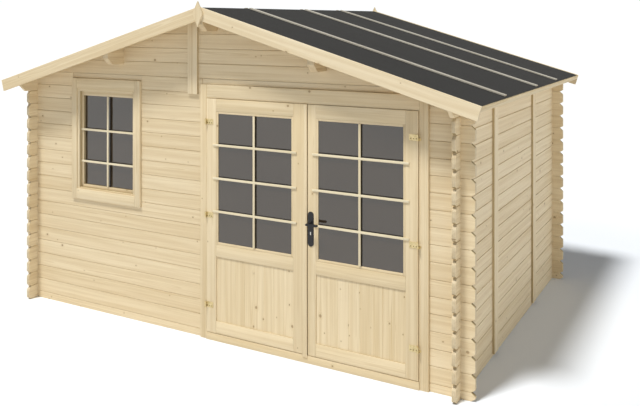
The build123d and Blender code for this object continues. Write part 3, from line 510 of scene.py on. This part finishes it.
def metal_material(name, light, dark, metallic, low, high):
    """Metal with a faint cloud in its colour; its roughness goes from low to high."""
    graph = new_material(name)
    place = graph.node("ShaderNodeTexCoord").outputs["Object"]
    cloud = graph.noise(place, 60.0, 4.0, 0.6)
    fine = graph.noise(place, 700.0, 2.0, 0.5)
    colour = graph.ramp(cloud, [(0.3, dark), (0.7, light)])
    rough = graph.band(cloud, 0.3, 0.7, low, high)
    return graph.surface(fine, 0.0002, Base_Color=colour, Roughness=rough, Metallic=metallic)


def painted_shade_material():
    """Dark strip of painted shade on the glass beside a bar."""
    graph = new_material("painted_bar_shade")
    place = graph.node("ShaderNodeTexCoord").outputs["Object"]
    fine = graph.noise(place, 500.0, 2.0, 0.5)
    colour = graph.ramp(fine, [(0.3, linear(26, 21, 14)), (0.7, linear(36, 29, 19))])
    return graph.surface(fine, 0.0001, Base_Color=colour, Roughness=0.8)


felt = felt_material()
glass = glass_material()
bar_shade_paint = painted_shade_material()
brass_zinc = metal_material("yellow_zinc", linear(230, 212, 166), linear(196, 176, 126), 0.75, 0.28, 0.42)
worn_brass = metal_material("worn_brass", linear(150, 130, 84), linear(118, 98, 58), 0.5, 0.4, 0.6)
steel = metal_material("bright_steel", linear(232, 230, 224), linear(200, 198, 192), 0.8, 0.2, 0.3)
black_satin = metal_material("black_satin", linear(38, 38, 40), linear(26, 26, 28), 0.2, 0.3, 0.45)


# Walls
def under_roof(x):
    return UNDER_APEX - ROOF_FALL * abs(x)


def clip_roof(points):
    for side in (-1, 1):
        kept = []
        for i, here in enumerate(points):
            last = points[i - 1]
            in_here = here[1] <= UNDER_APEX - ROOF_FALL * side * here[0]
            in_last = last[1] <= UNDER_APEX - ROOF_FALL * side * last[0]
            if in_here != in_last:
                over_here = here[1] + ROOF_FALL * side * here[0] - UNDER_APEX
                over_last = last[1] + ROOF_FALL * side * last[0] - UNDER_APEX
                part = over_last / (over_last - over_here)
                kept.append((last[0] + part * (here[0] - last[0]), last[1] + part * (here[1] - last[1])))
            if in_here:
                kept.append(here)
        points = kept
    return points


def row(z0, z1, x0, x1, left_end=False, right_end=False):
    points = []
    if left_end:
        points += [(x0 + END_DEEP, z1), (x0, z1 - END_TOP_CUT), (x0, z0 + END_BOTTOM_CUT)]
        points += [(x0 + END_DEEP, z0)]
    else:
        points += [(x0, z1), (x0, z0)]
    if right_end:
        points += [(x1 - END_DEEP, z0), (x1, z0 + END_BOTTOM_CUT)]
        points += [(x1, z1 - END_TOP_CUT), (x1 - END_DEEP, z1)]
    else:
        points += [(x1, z0), (x1, z1)]
    return points


def wall_board(store, outline, axis, low, z0, z1):
    # one board of a wall, short of its neighbours by half a joint on each side
    apart = []
    for across, z in outline:
        if abs(z - z0) < 0.01 and z0 > 0:
            z += JOINT[axis]
        if abs(z - z1) < 0.01:
            z -= JOINT[axis]
        apart.append((across, z))
    grain = ALONG_X if axis == "y" else ALONG_Y
    thick = ALONG_Y if axis == "y" else ALONG_X
    made = prism(clip_roof(apart) if axis == "y" else apart, axis, low, low + WALL)
    # painted shade on the slanted cuts at the board ends
    store.add(made, grain, thick, CHAMFER[axis], dark="cuts")


def tongue(store, axis, low, z, ends):
    # the tongue that closes a joint, behind both faces
    a0, a1 = ends
    if axis == "y":
        reach = (UNDER_APEX - z - TONGUE_HALF) / ROOF_FALL - 6
        a0, a1 = max(a0, -reach), min(a1, reach)
    if a1 - a0 < 10:
        return
    outline = [(a0, z - TONGUE_HALF), (a1, z - TONGUE_HALF), (a1, z + TONGUE_HALF), (a0, z + TONGUE_HALF)]
    grain = ALONG_X if axis == "y" else ALONG_Y
    thick = ALONG_Y if axis == "y" else ALONG_X
    store.add(prism(outline, axis, low + TONGUE_DEEP, low + WALL - TONGUE_DEEP), grain, thick, 0.3)


left_front = Boards()
right_front = Boards()
for number in range(SIDE_BOARDS + 2):
    z0 = max(0, (number - 0.5) * PITCH)
    z1 = (number + 0.5) * PITCH
    x0, x1, foot = WINDOW
    spans = []
    if z1 <= foot:
        spans.append(row(z0, z1, -TIP, DOOR[0], left_end=True))
    elif z0 < foot:
        outline = row(z0, z1, -TIP, DOOR[0], left_end=True)
        outline += [(x1, z1), (x1, foot), (x0, foot), (x0, z1)]
        spans.append(outline)
    else:
        spans.append(row(z0, z1, -TIP, x0, left_end=True))
        spans.append(row(z0, z1, x1, DOOR[0]))
    for outline in spans:
        wall_board(left_front, outline, "y", -HALF_DEPTH, z0, z1)
    wall_board(right_front, row(z0, z1, DOOR[1], TIP, right_end=True), "y", -HALF_DEPTH, z0, z1)
    if number <= SIDE_BOARDS:
        if z1 < foot:
            tongue(left_front, "y", -HALF_DEPTH, z1, (-TIP + TONGUE_SHORT, DOOR[0] - 1))
        else:
            tongue(left_front, "y", -HALF_DEPTH, z1, (-TIP + TONGUE_SHORT, x0 - 1))
            tongue(left_front, "y", -HALF_DEPTH, z1, (x1 + 1, DOOR[0] - 1))
        tongue(right_front, "y", -HALF_DEPTH, z1, (DOOR[1] + 1, TIP - TONGUE_SHORT))
left_front.piece("front_boards_left", "shed", wall_wood, "wall_wood", ["front_wall_left"])
right_front.piece("front_boards_right", "shed", wall_wood, "wall_wood", ["front_wall_right"])

gable = Boards()
back = Boards()
for number in range(SIDE_BOARDS + 2, SIDE_BOARDS + 8):
    z0 = (number - 0.5) * PITCH
    if z0 >= UNDER_APEX - 3:
        break
    for store, low in ((gable, -HALF_DEPTH), (back, HALF_DEPTH - WALL)):
        wall_board(store, row(z0, z0 + PITCH, -HALF_WIDTH, HALF_WIDTH), "y", low, z0, z0 + PITCH)
        tongue(store, "y", low, z0, (-HALF_WIDTH, HALF_WIDTH))
for number in range(SIDE_BOARDS + 2):
    z0, z1 = max(0, (number - 0.5) * PITCH), (number + 0.5) * PITCH
    wall_board(back, row(z0, z1, -TIP, TIP, True, True), "y", HALF_DEPTH - WALL, z0, z1)
    if number <= SIDE_BOARDS:
        tongue(back, "y", HALF_DEPTH - WALL, z1, (-TIP + TONGUE_SHORT, TIP - TONGUE_SHORT))
gable.piece("gable_boards", "shed", wall_wood, "wall_wood", ["front_gable"])
back.piece("back_boards", "shed", wall_wood, "wall_wood", ["back_wall"])

for name, x0 in (("left", -HALF_WIDTH), ("right", HALF_WIDTH - WALL)):
    side = Boards()
    for number in range(SIDE_BOARDS):
        z0, z1 = number * PITCH, (number + 1) * PITCH
        wall_board(side, row(z0, z1, -SIDE_TIP, SIDE_TIP, True, True), "x", x0, z0, z1)
        tongue(side, "x", x0, z1, (-SIDE_TIP + TONGUE_SHORT, SIDE_TIP - TONGUE_SHORT))
    side.piece(name + "_boards", "shed", wall_wood, "wall_wood", [name + "_wall"])


def slant_ended(foot, top):
    # a beam seen from the side, cut on the slant under both ends
    return [
        (-REACH + SLANT_LONG, foot), (REACH - SLANT_LONG, foot), (REACH, foot + SLANT_HIGH), (REACH, top),
        (-REACH, top), (-REACH, foot + SLANT_HIGH),
    ]


def below_roof(x):
    return under_roof(x * 1000) / 1000


eaves = Boards()
for x0 in (-HALF_WIDTH, HALF_WIDTH - WALL):
    outline = slant_ended(EAVE_BOARD_BOTTOM + JOINT["x"], under_roof(HALF_WIDTH - WALL))
    eaves.add(prism(outline, "x", x0, x0 + WALL), ALONG_Y, ALONG_X, CHAMFER["x"], limit=below_roof)
eaves.piece("eave_wall_boards", "shed", wall_wood, "wall_wood", ["eave_boards"])

for name, places in (("ridge", [0]), ("side", [-SIDE_PURLIN_X, SIDE_PURLIN_X])):
    beams = Boards()
    for x in places:
        foot = under_roof(x) - PURLIN_HIGH
        outline = slant_ended(foot, under_roof(abs(x) - PURLIN_HALF if x else 0))
        made = prism(outline, "x", x - PURLIN_HALF, x + PURLIN_HALF)
        beams.add(made, ALONG_Y, ALONG_X, 1.5, limit=below_roof)
    node = "ridge_purlin" if name == "ridge" else "side_purlins"
    beams.piece(name + "_beams", "shed", roof_wood, "roof_wood", [node])


# Roof
def felt_top(x):
    return FELT_APEX - ROOF_FALL * abs(x)


def down_slope(point, side, along, square):
    x = point[0] + side * (along * math.cos(ANGLE) + square * math.sin(ANGLE))
    return (x, point[1] - along * math.sin(ANGLE) + square * math.cos(ANGLE))


for name, side in (("left", -1), ("right", 1)):
    outer = (side * HALF_SPAN, felt_top(HALF_SPAN))
    inner = down_slope(outer, side, -EAVE_TRIM, 0)
    outline = [
        (0, BOARDS_APEX),
        down_slope(inner, side, 0, -FELT),
        down_slope(inner, side, 0, -FELT - ROOF_BOARD),
        (0, UNDER_APEX),
    ]
    down = (side * math.cos(ANGLE), 0, -math.sin(ANGLE))
    square = (side * math.sin(ANGLE), 0, math.cos(ANGLE))
    boards = Boards()
    wide = 2 * REACH / ROOF_BOARDS
    for number in range(ROOF_BOARDS):
        y0 = -REACH + number * wide
        boards.add(prism(outline, "y", y0, y0 + wide), down, square, 1.6)
    boards.piece(name + "_roof_boards", "shed", roof_wood, "roof_wood", ["roof_boards_" + name])

laths = Boards()
eave_strips = Boards()
for side in (-1, 1):
    down = (side * math.cos(ANGLE), 0, -math.sin(ANGLE))
    square = (side * math.sin(ANGLE), 0, math.cos(ANGLE))
    top = (side * LATH_TOP, felt_top(LATH_TOP))
    foot = (side * (HALF_SPAN - LATH_FOOT), felt_top(HALF_SPAN - LATH_FOOT))
    outline = [top, foot, down_slope(foot, side, 0, LATH_HIGH), down_slope(top, side, 0, LATH_HIGH)]
    for y in LATHS:
        laths.add(prism(outline, "y", y - LATH_HALF, y + LATH_HALF), down, square, 1.2)
    outer = (side * HALF_SPAN, felt_top(HALF_SPAN))
    inner = down_slope(outer, side, -EAVE_TRIM, 0)
    outline = [
        down_slope(inner, side, 0, -EAVE_TRIM_DROP),
        down_slope(outer, side, 0, -EAVE_TRIM_DROP),
        down_slope(outer, side, 0, -EAVE_TRIM_HIGH),
        down_slope(inner, side, 0, -EAVE_TRIM_HIGH),
    ]
    # painted shade on the strip's long narrow faces
    eave_strips.add(prism(outline, "y", -REACH, REACH), ALONG_Y, down, 1.2, dark="edges")
laths.piece("roof_laths", "shed", lath_wood, "trim_wood", ["felt_laths"])
eave_strips.piece("eave_strips", "shed", eave_wood, "trim_wood", ["eave_trims"])

barges = Boards()
kites = Boards()
for y0, y1 in ((-REACH - BARGE, -REACH), (REACH, REACH + BARGE)):
    for side in (-1, 1):
        apex = FELT_APEX + BARGE_RISE
        top = (side * MITRE_GAP, apex - ROOF_FALL * MITRE_GAP)
        end = (side * HALF_SPAN, apex - ROOF_FALL * HALF_SPAN)
        low = (top[0], top[1] - BARGE_WIDE / math.cos(ANGLE))
        outline = [top, end, down_slope(end, side, 0, -BARGE_WIDE), low]
        down = (side * math.cos(ANGLE), 0, -math.sin(ANGLE))
        barges.add(prism(outline, "y", y0, y1), down, ALONG_Y, 1.5)
    kite = [(x, FELT_APEX + z) for x, z in KITE]
    away = -BARGE if y0 < 0 else BARGE
    kites.add(prism(kite, "y", y0 + away, y1 + away), UP, ALONG_Y, 1.8)
barges.piece("gable_barges", "shed", trim_wood, "trim_wood", ["barge_boards"])
kites.piece("ridge_kites", "shed", trim_wood, "trim_wood", ["finials"])

# Cover boards and the boards in the settling gaps
covers = Boards()
for y in SIDE_COVERS_Y:
    for x0 in (HALF_WIDTH, -HALF_WIDTH - COVER):
        made = box(x0, x0 + COVER, y - COVER_HALF, y + COVER_HALF, COVER_FOOT, ABOVE_EAVE)
        # painted shade on the long narrow faces of the covers
        covers.add(made, UP, ALONG_X, 1.5, limit=below_roof, dark="edges")
covers.piece("side_covers", "shed", trim_wood, "trim_wood", ["side_cover_boards"])

covers = Boards()
for y0 in (-HALF_DEPTH - COVER, HALF_DEPTH):
    x0, x1 = GABLE_COVER
    foot = GABLE_COVER_FOOT
    outline = clip_roof([(x0, foot), (x1, foot), (x1, ABOVE_RIDGE), (x0, ABOVE_RIDGE)])
    # painted shade on the long narrow faces of the covers
    covers.add(prism(outline, "y", y0, y0 + COVER), UP, ALONG_Y, 1.5, dark="edges")
covers.piece("gable_covers", "shed", trim_wood, "trim_wood", ["gable_cover_boards"])

gaps = Boards()
for x0, x1 in ((WINDOW[0], WINDOW[1]), DOOR):
    gaps.add(box(x0, x1, GAP_FACE, GAP_BACK, CASING_TOP + 1, FRONT_TOP_JOINT), ALONG_X, ALONG_Y, 1.2)
gaps.piece("gap_strips", "shed", trim_wood, "trim_wood", ["gap_boards"])

# Door casings with their stops and the lips that narrow the slots round the leaves
left, right = JAMBS
jambs = Boards()
jambs.add(box(DOOR[0], left, CASING_FACE, CASING_BACK, 0, CASING_TOP), UP, ALONG_Y, 2, 2)
jambs.add(box(right, DOOR[1], CASING_FACE, CASING_BACK, 0, CASING_TOP), UP, ALONG_Y, 2, 2)
jambs.add(box(left, left + STOP, STOP_FACE, CASING_BACK, SILL_TOP, STOP_TOP), UP, ALONG_Y, 1.5)
jambs.add(box(right - STOP, right, STOP_FACE, CASING_BACK, SILL_TOP, STOP_TOP), UP, ALONG_Y, 1.5)
jambs.add(box(left, left + SIDE_LIP, LIP_FACE, LIP_BACK, SILL_TOP, HEAD_FOOT), UP, ALONG_Y, 0.6)
jambs.add(box(right - SIDE_LIP, right, LIP_FACE, LIP_BACK, SILL_TOP, HEAD_FOOT), UP, ALONG_Y, 0.6)
jambs.piece("door_jambs", "shed", joinery_wood, "joinery_wood", ["door_side_casings"])

head = Boards()
head.add(box(left, right, CASING_FACE, CASING_BACK, HEAD_FOOT, CASING_TOP), ALONG_X, ALONG_Y, 2, 2)
head.add(box(left, right, STOP_FACE, CASING_BACK, STOP_TOP, HEAD_FOOT), ALONG_X, ALONG_Y, 1.5)
made = box(left + LIP_SHORT, right - LIP_SHORT, LIP_FACE, LIP_BACK, HEAD_FOOT - LEVEL_LIP, HEAD_FOOT)
head.add(made, ALONG_X, ALONG_Y, 0.6)
head.piece("door_head", "shed", joinery_wood, "joinery_wood", ["door_head_casing"])

sill = Boards()
sill.add(box(left, right, SILL_FACE, CASING_BACK, 0, SILL_TOP), ALONG_X, ALONG_Y, 2, 2)
made = box(left + LIP_SHORT, right - LIP_SHORT, LIP_FACE, LIP_BACK, SILL_TOP, SILL_TOP + LEVEL_LIP)
sill.add(made, ALONG_X, ALONG_Y, 0.6)
sill.piece("door_sill", "shed", joinery_wood, "joinery_wood", ["door_threshold"])

# Window
posts = Boards()
posts.add(box(WINDOW[0], FIXED[0], CASING_FACE, CASING_BACK, WINDOW[2], CASING_TOP), UP, ALONG_Y, 2, 2)
posts.add(box(FIXED[1], WINDOW[1], CASING_FACE, CASING_BACK, WINDOW[2], CASING_TOP), UP, ALONG_Y, 2, 2)
posts.piece("window_posts", "shed", joinery_wood, "joinery_wood", ["window_side_casings"])

crosses = Boards()
crosses.add(box(FIXED[0], FIXED[1], CASING_FACE, CASING_BACK, FIXED[3], CASING_TOP), ALONG_X, ALONG_Y, 2, 2)
crosses.add(box(FIXED[0], FIXED[1], CASING_FACE, CASING_BACK, WINDOW[2], FIXED[2]), ALONG_X, ALONG_Y, 2, 2)
crosses.piece("window_crosses", "shed", joinery_wood, "joinery_wood", ["window_cross_casings"])


def ring(store, outside, inside, y0, y1, bevel):
    # four strips round an opening, the upright ones between the level ones, with painted shade on their long
    # narrow faces
    ox0, ox1, oz0, oz1 = outside
    ix0, ix1, iz0, iz1 = inside
    store.add(box(ox0, ix0, y0, y1, oz0, oz1), UP, ALONG_Y, bevel, 2, dark="edges")
    store.add(box(ix1, ox1, y0, y1, oz0, oz1), UP, ALONG_Y, bevel, 2, dark="edges")
    store.add(box(ix0, ix1, y0, y1, iz1, oz1), ALONG_X, ALONG_Y, bevel, 2, dark="edges")
    store.add(box(ix0, ix1, y0, y1, oz0, iz0), ALONG_X, ALONG_Y, bevel, 2, dark="edges")


fixed = Boards()
ring(fixed, FIXED, SASH, FIXED_FACE, SASH_BACK, 2)
fixed.piece("window_fixed", "shed", joinery_wood, "joinery_wood", ["window_frame"])

sash = Boards()
ring(sash, SASH, PANE, SASH_FACE, SASH_BACK, 2)
sash.piece("window_leaf", "shed", joinery_wood, "joinery_wood", ["window_sash"])

left, right, foot, top = PANE
bars = Boards()
bars.add(box(*WINDOW_BAR_X, SASH_FACE - UPRIGHT_BAR, SASH_FACE, foot, top), UP, ALONG_Y, 2.5, 2)
for z in WINDOW_BARS:
    made = box(SASH[0], SASH[1], SASH_FACE - BAR, SASH_FACE, z - BAR_HALF, z + BAR_HALF)
    bars.add(made, ALONG_X, ALONG_Y, 2.5, 2)
bars.piece("window_crossbars", "shed", bar_wood, "joinery_wood", ["window_bars"])

# dark strips of painted shade on the pane beside the bars
front, behind = WINDOW_GLASS_FACE - 2, WINDOW_GLASS_FACE - 0.2
near, far = WINDOW_SHADE_X
bar_shades = Boards()
bar_shades.add(box(near, far, front, behind, foot, top), UP, ALONG_Y, 0.3)
for z in WINDOW_BARS:
    low, high = z - BAR_SHADE_LOW, z + WINDOW_SHADE_HIGH
    bar_shades.add(box(left, near, front, behind, low, high), ALONG_X, ALONG_Y, 0.3)
    bar_shades.add(box(far, right, front, behind, low, high), ALONG_X, ALONG_Y, 0.3)
bar_shades.piece("window_bar_shades", "shed", [bar_shade_paint, bar_shade_paint], "felt")


# Door leaves
def leaf(name, edges, low_bar_start):
    body = "door_" + name
    outer_left, inner_left, inner_right, outer_right = edges
    rail_foot, rail_top = MIDDLE_RAIL
    glass_foot, glass_top = rail_top + BEAD, TOP_RAIL_FOOT - BEAD
    face, behind = LEAF_FACE, LEAF_BACK

    upright = Boards()
    for x0, x1 in ((outer_left, inner_left), (inner_right, outer_right)):
        upright.add(box(x0, x1, face, behind, LEAF_FOOT, LEAF_TOP), UP, ALONG_Y, 1.5, 2)
    for x0 in (inner_left, inner_right - BEAD):
        made = box(x0, x0 + BEAD, face + BEAD_BACKSET, behind, rail_top, TOP_RAIL_FOOT)
        upright.add(made, UP, ALONG_Y, 3, 2)
    if name == "right":
        # lip behind the strip of the other leaf
        made = box(outer_left - SIDE_LIP, outer_left, face + 4, behind - 12, LEAF_FOOT, LEAF_TOP)
        upright.add(made, UP, ALONG_Y, 0.6)
    upright.piece(name + "_leaf_stiles", body, joinery_wood, "joinery_wood", [body + "_stiles"])

    level = Boards()
    # rails, with painted shade on their top and bottom faces
    for z0, z1 in ((TOP_RAIL_FOOT, LEAF_TOP), MIDDLE_RAIL, (LEAF_FOOT, FOOT_RAIL_TOP)):
        made = box(inner_left, inner_right, face, behind, z0, z1)
        level.add(made, ALONG_X, ALONG_Y, 1.5, 2, dark="edges")
    for z0 in (glass_top, rail_top):
        made = box(inner_left + BEAD, inner_right - BEAD, face + BEAD_BACKSET, behind, z0, z0 + BEAD)
        level.add(made, ALONG_X, ALONG_Y, 3, 2)
    level.piece(name + "_leaf_rails", body, joinery_wood, "joinery_wood", [body + "_rails"])

    # matchboards of the foot panel
    panel = Boards()
    wide = (inner_right - inner_left) / PANEL_BOARDS
    low, high = FOOT_RAIL_TOP - PANEL_TONGUE, rail_foot + PANEL_TONGUE
    for number in range(PANEL_BOARDS):
        x0 = inner_left + number * wide
        panel.add(box(x0, x0 + wide, face + PANEL_BACKSET, face + PANEL_BACK, low, high), UP, ALONG_Y, 2.0)
    panel.piece(name + "_leaf_panel", body, panel_wood, "joinery_wood", [body + "_panel"])

    # lattice in front of the glass, and dark strips of painted shade on the glass beside it
    glazing = Boards()
    left, right = inner_left + BEAD, inner_right - BEAD
    centre = (left + right) / 2 + BAR_OFF_CENTRE
    made = box(centre - BAR_HALF, centre + BAR_HALF, face - UPRIGHT_BAR, face, glass_foot, glass_top)
    glazing.add(made, UP, ALONG_Y, 2.5, 2)
    bar_shades = Boards()
    near, far = centre + LEAF_SHADE_NEAR, centre + LEAF_SHADE_FAR
    front, back = face + LEAF_SHADE_FACE, face + LEAF_SHADE_BACK
    bar_shades.add(box(near, far, front, back, glass_foot, glass_top), UP, ALONG_Y, 0.3)
    for z, rise in zip(LEAF_BARS, LEAF_SHADE_HIGH):
        x0 = low_bar_start if z == LEAF_BARS[0] else left - BAR_LAP
        made = box(x0, right + BAR_LAP, face - BAR, face, z - BAR_HALF, z + BAR_HALF)
        glazing.add(made, ALONG_X, ALONG_Y, 2.5, 2)
        bar_shades.add(box(left, near, front, back, z - BAR_SHADE_LOW, z + rise), ALONG_X, ALONG_Y, 0.3)
        bar_shades.add(box(far, right, front, back, z - BAR_SHADE_LOW, z + rise), ALONG_X, ALONG_Y, 0.3)
    glazing.piece(name + "_leaf_bars", body, bar_wood, "joinery_wood", [body + "_bars"])
    bar_shades.piece(name + "_leaf_bar_shades", body, [bar_shade_paint, bar_shade_paint], "felt")


# the lowest bar of the right leaf stops short of the lever, all others lap the stiles
leaf("left", LEFT_LEAF, LEFT_LEAF[1] + BEAD - BAR_LAP)
leaf("right", RIGHT_LEAF, SHORT_BAR_START)

strip = Boards()
strip.add(box(*STRIP, LEAF_FACE - BAR, LEAF_FACE, STRIP_FOOT, LEAF_TOP), UP, ALONG_Y, 2, 2)
strip.piece("meeting_strip", "door_left", joinery_wood, "joinery_wood", ["door_left_strip"])

keyhole = Boards()
left, right = LOCK_X - KEYHOLE_HALF, LOCK_X + KEYHOLE_HALF
keyhole.add(box(left, right, PLATE_FACE - KEYHOLE_PROUD, PLATE_FACE, *KEYHOLE), UP, ALONG_Y, 0.7, 2)
keyhole.piece("keyhole_rim", "door_right", [steel, steel], "handle_metal")


def disc(x, z, radius):
    steps = [turn * math.pi / 6 for turn in range(12)]
    return [(x + radius * math.cos(step), z + radius * math.sin(step)) for step in steps]


# Screws of the hinge plates
for name, places in SCREWS.items():
    screws = Boards()
    for z in HINGES:
        for x in places:
            outline = disc(x, z - SCREW_LOW, SCREW_RADIUS)
            screws.add(prism(outline, "y", PLATE_FACE, PLATE_FACE + 1), UP, ALONG_Y, 0.3)
    screws.piece(name + "_hinge_screws", "door_" + name, [worn_brass, worn_brass], "hinge_metal")

# Finishes of the nodes that stay
FINISHES = {
    "roof_felt_left": felt,
    "roof_felt_right": felt,
    "window_glass": glass,
    "door_left_glass": glass,
    "door_right_glass": glass,
    "hinge_pins": brass_zinc,
    "door_left_hinges": brass_zinc,
    "door_right_hinges": brass_zinc,
    "lock_plates": black_satin,
    "handle_lever": black_satin,
}
for node, material in FINISHES.items():
    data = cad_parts[node].data
    data.materials.clear()
    data.materials.append(material)


# Floor, light and camera
def seen_rays(graph):
    # 1 for rays from the camera and for those that come by way of gloss or glass, 0 for the others
    rays = graph.node("ShaderNodeLightPath")
    seen = graph.math("MAXIMUM", rays.outputs["Is Camera Ray"], rays.outputs["Is Glossy Ray"])
    return graph.math("MAXIMUM", seen, rays.outputs["Is Transmission Ray"])


def floor_material():
    """Pale floor that the camera sees a little darker and bluer round the shed's shadow than farther out:
    painted shade that deepens the shadow.
    """
    graph = new_material("pale_floor")
    place = graph.node("ShaderNodeTexCoord").outputs["Object"]
    away = graph.node("ShaderNodeVectorMath", {"operation": "DISTANCE"}, {0: place, 1: (1.6, 0.6, 0.0)})
    # darker and bluer near the shed for the camera: painted shade round its cast shadow, pale farther out
    outer = graph.band(away.outputs["Value"], 2.3, 4.4)
    pale_with_painted_shade = graph.mix(outer, (0.855, 0.9, 0.97, 1.0), (0.97, 0.985, 1.0, 1.0))
    colour = graph.mix(seen_rays(graph), (0.77, 0.77, 0.78, 1.0), pale_with_painted_shade)
    grain = graph.noise(place, 4.0)
    return graph.surface(grain, 0.0001, Base_Color=colour, Roughness=0.95, Specular_IOR_Level=0.0)


floor_mesh = bpy.data.meshes.new("floor")
far = 300.0
floor_mesh.from_pydata([(-far, -far, 0), (far, -far, 0), (far, far, 0), (-far, far, 0)], [], [(0, 1, 2, 3)])
floor_mesh.materials.append(floor_material())
floor = bpy.data.objects.new("floor", floor_mesh)
bpy.context.scene.collection.objects.link(floor)

# soft boxes low all round and more on the right, with a dim ceiling; the background is seen white
world = bpy.data.worlds.new("studio")
bpy.context.scene.world = world
sky = Graph(world)
place = sky.node("ShaderNodeTexCoord").outputs["Generated"]
parts = sky.node("ShaderNodeSeparateXYZ", None, {0: place})
low = sky.math("SUBTRACT", 1.0, sky.math("MAXIMUM", parts.outputs[2], 0.0))
right = sky.math("MULTIPLY", sky.math("MAXIMUM", parts.outputs[0], 0.0), low)
right = sky.math("MULTIPLY", right, SOFT_RIGHT)
studio = sky.math("MULTIPLY", low, sky.math("ADD", right, SOFT_ROUND))
studio = sky.math("ADD", studio, SOFT_CEILING)
sockets = {"Value": seen_rays(sky), "To Min": studio, "To Max": BACKGROUND}
strength = sky.node("ShaderNodeMapRange", None, sockets).outputs[0]
sockets = {"Color": (0.97, 0.99, 1.0, 1.0), "Strength": strength}
background = sky.node("ShaderNodeBackground", None, sockets)
sky.node("ShaderNodeOutputWorld", None, {0: background.outputs[0]})

sun_data = bpy.data.lights.new("sun", "SUN")
sun_data.energy = SUN_POWER
sun_data.angle = math.radians(SUN_WIDTH)
sun_data.color = (1.0, 0.985, 0.95)
sun = bpy.data.objects.new("sun", sun_data)
bpy.context.scene.collection.objects.link(sun)
azimuth, height = math.radians(SUN_AZIMUTH), math.radians(SUN_HEIGHT)
level_part = math.cos(height)
towards = Vector((-math.sin(azimuth) * level_part, -math.cos(azimuth) * level_part, math.sin(height)))
sun.rotation_euler = towards.to_track_quat("Z", "Y").to_euler()

camera_data = bpy.data.cameras.new("camera")
camera_data.lens = 44.01
camera_data.sensor_width = 36.0
camera_data.shift_x = 0.0085
camera_data.shift_y = -0.28667
camera_data.clip_end = 1000.0
camera = bpy.data.objects.new("camera", camera_data)
camera.location = (3.6610, -6.3936, 2.5091)
camera.rotation_euler = (math.radians(90), 0.0, math.radians(28.963))
bpy.context.scene.collection.objects.link(camera)
bpy.context.scene.camera = camera
bpy.context.scene.view_settings.view_transform = "Standard"
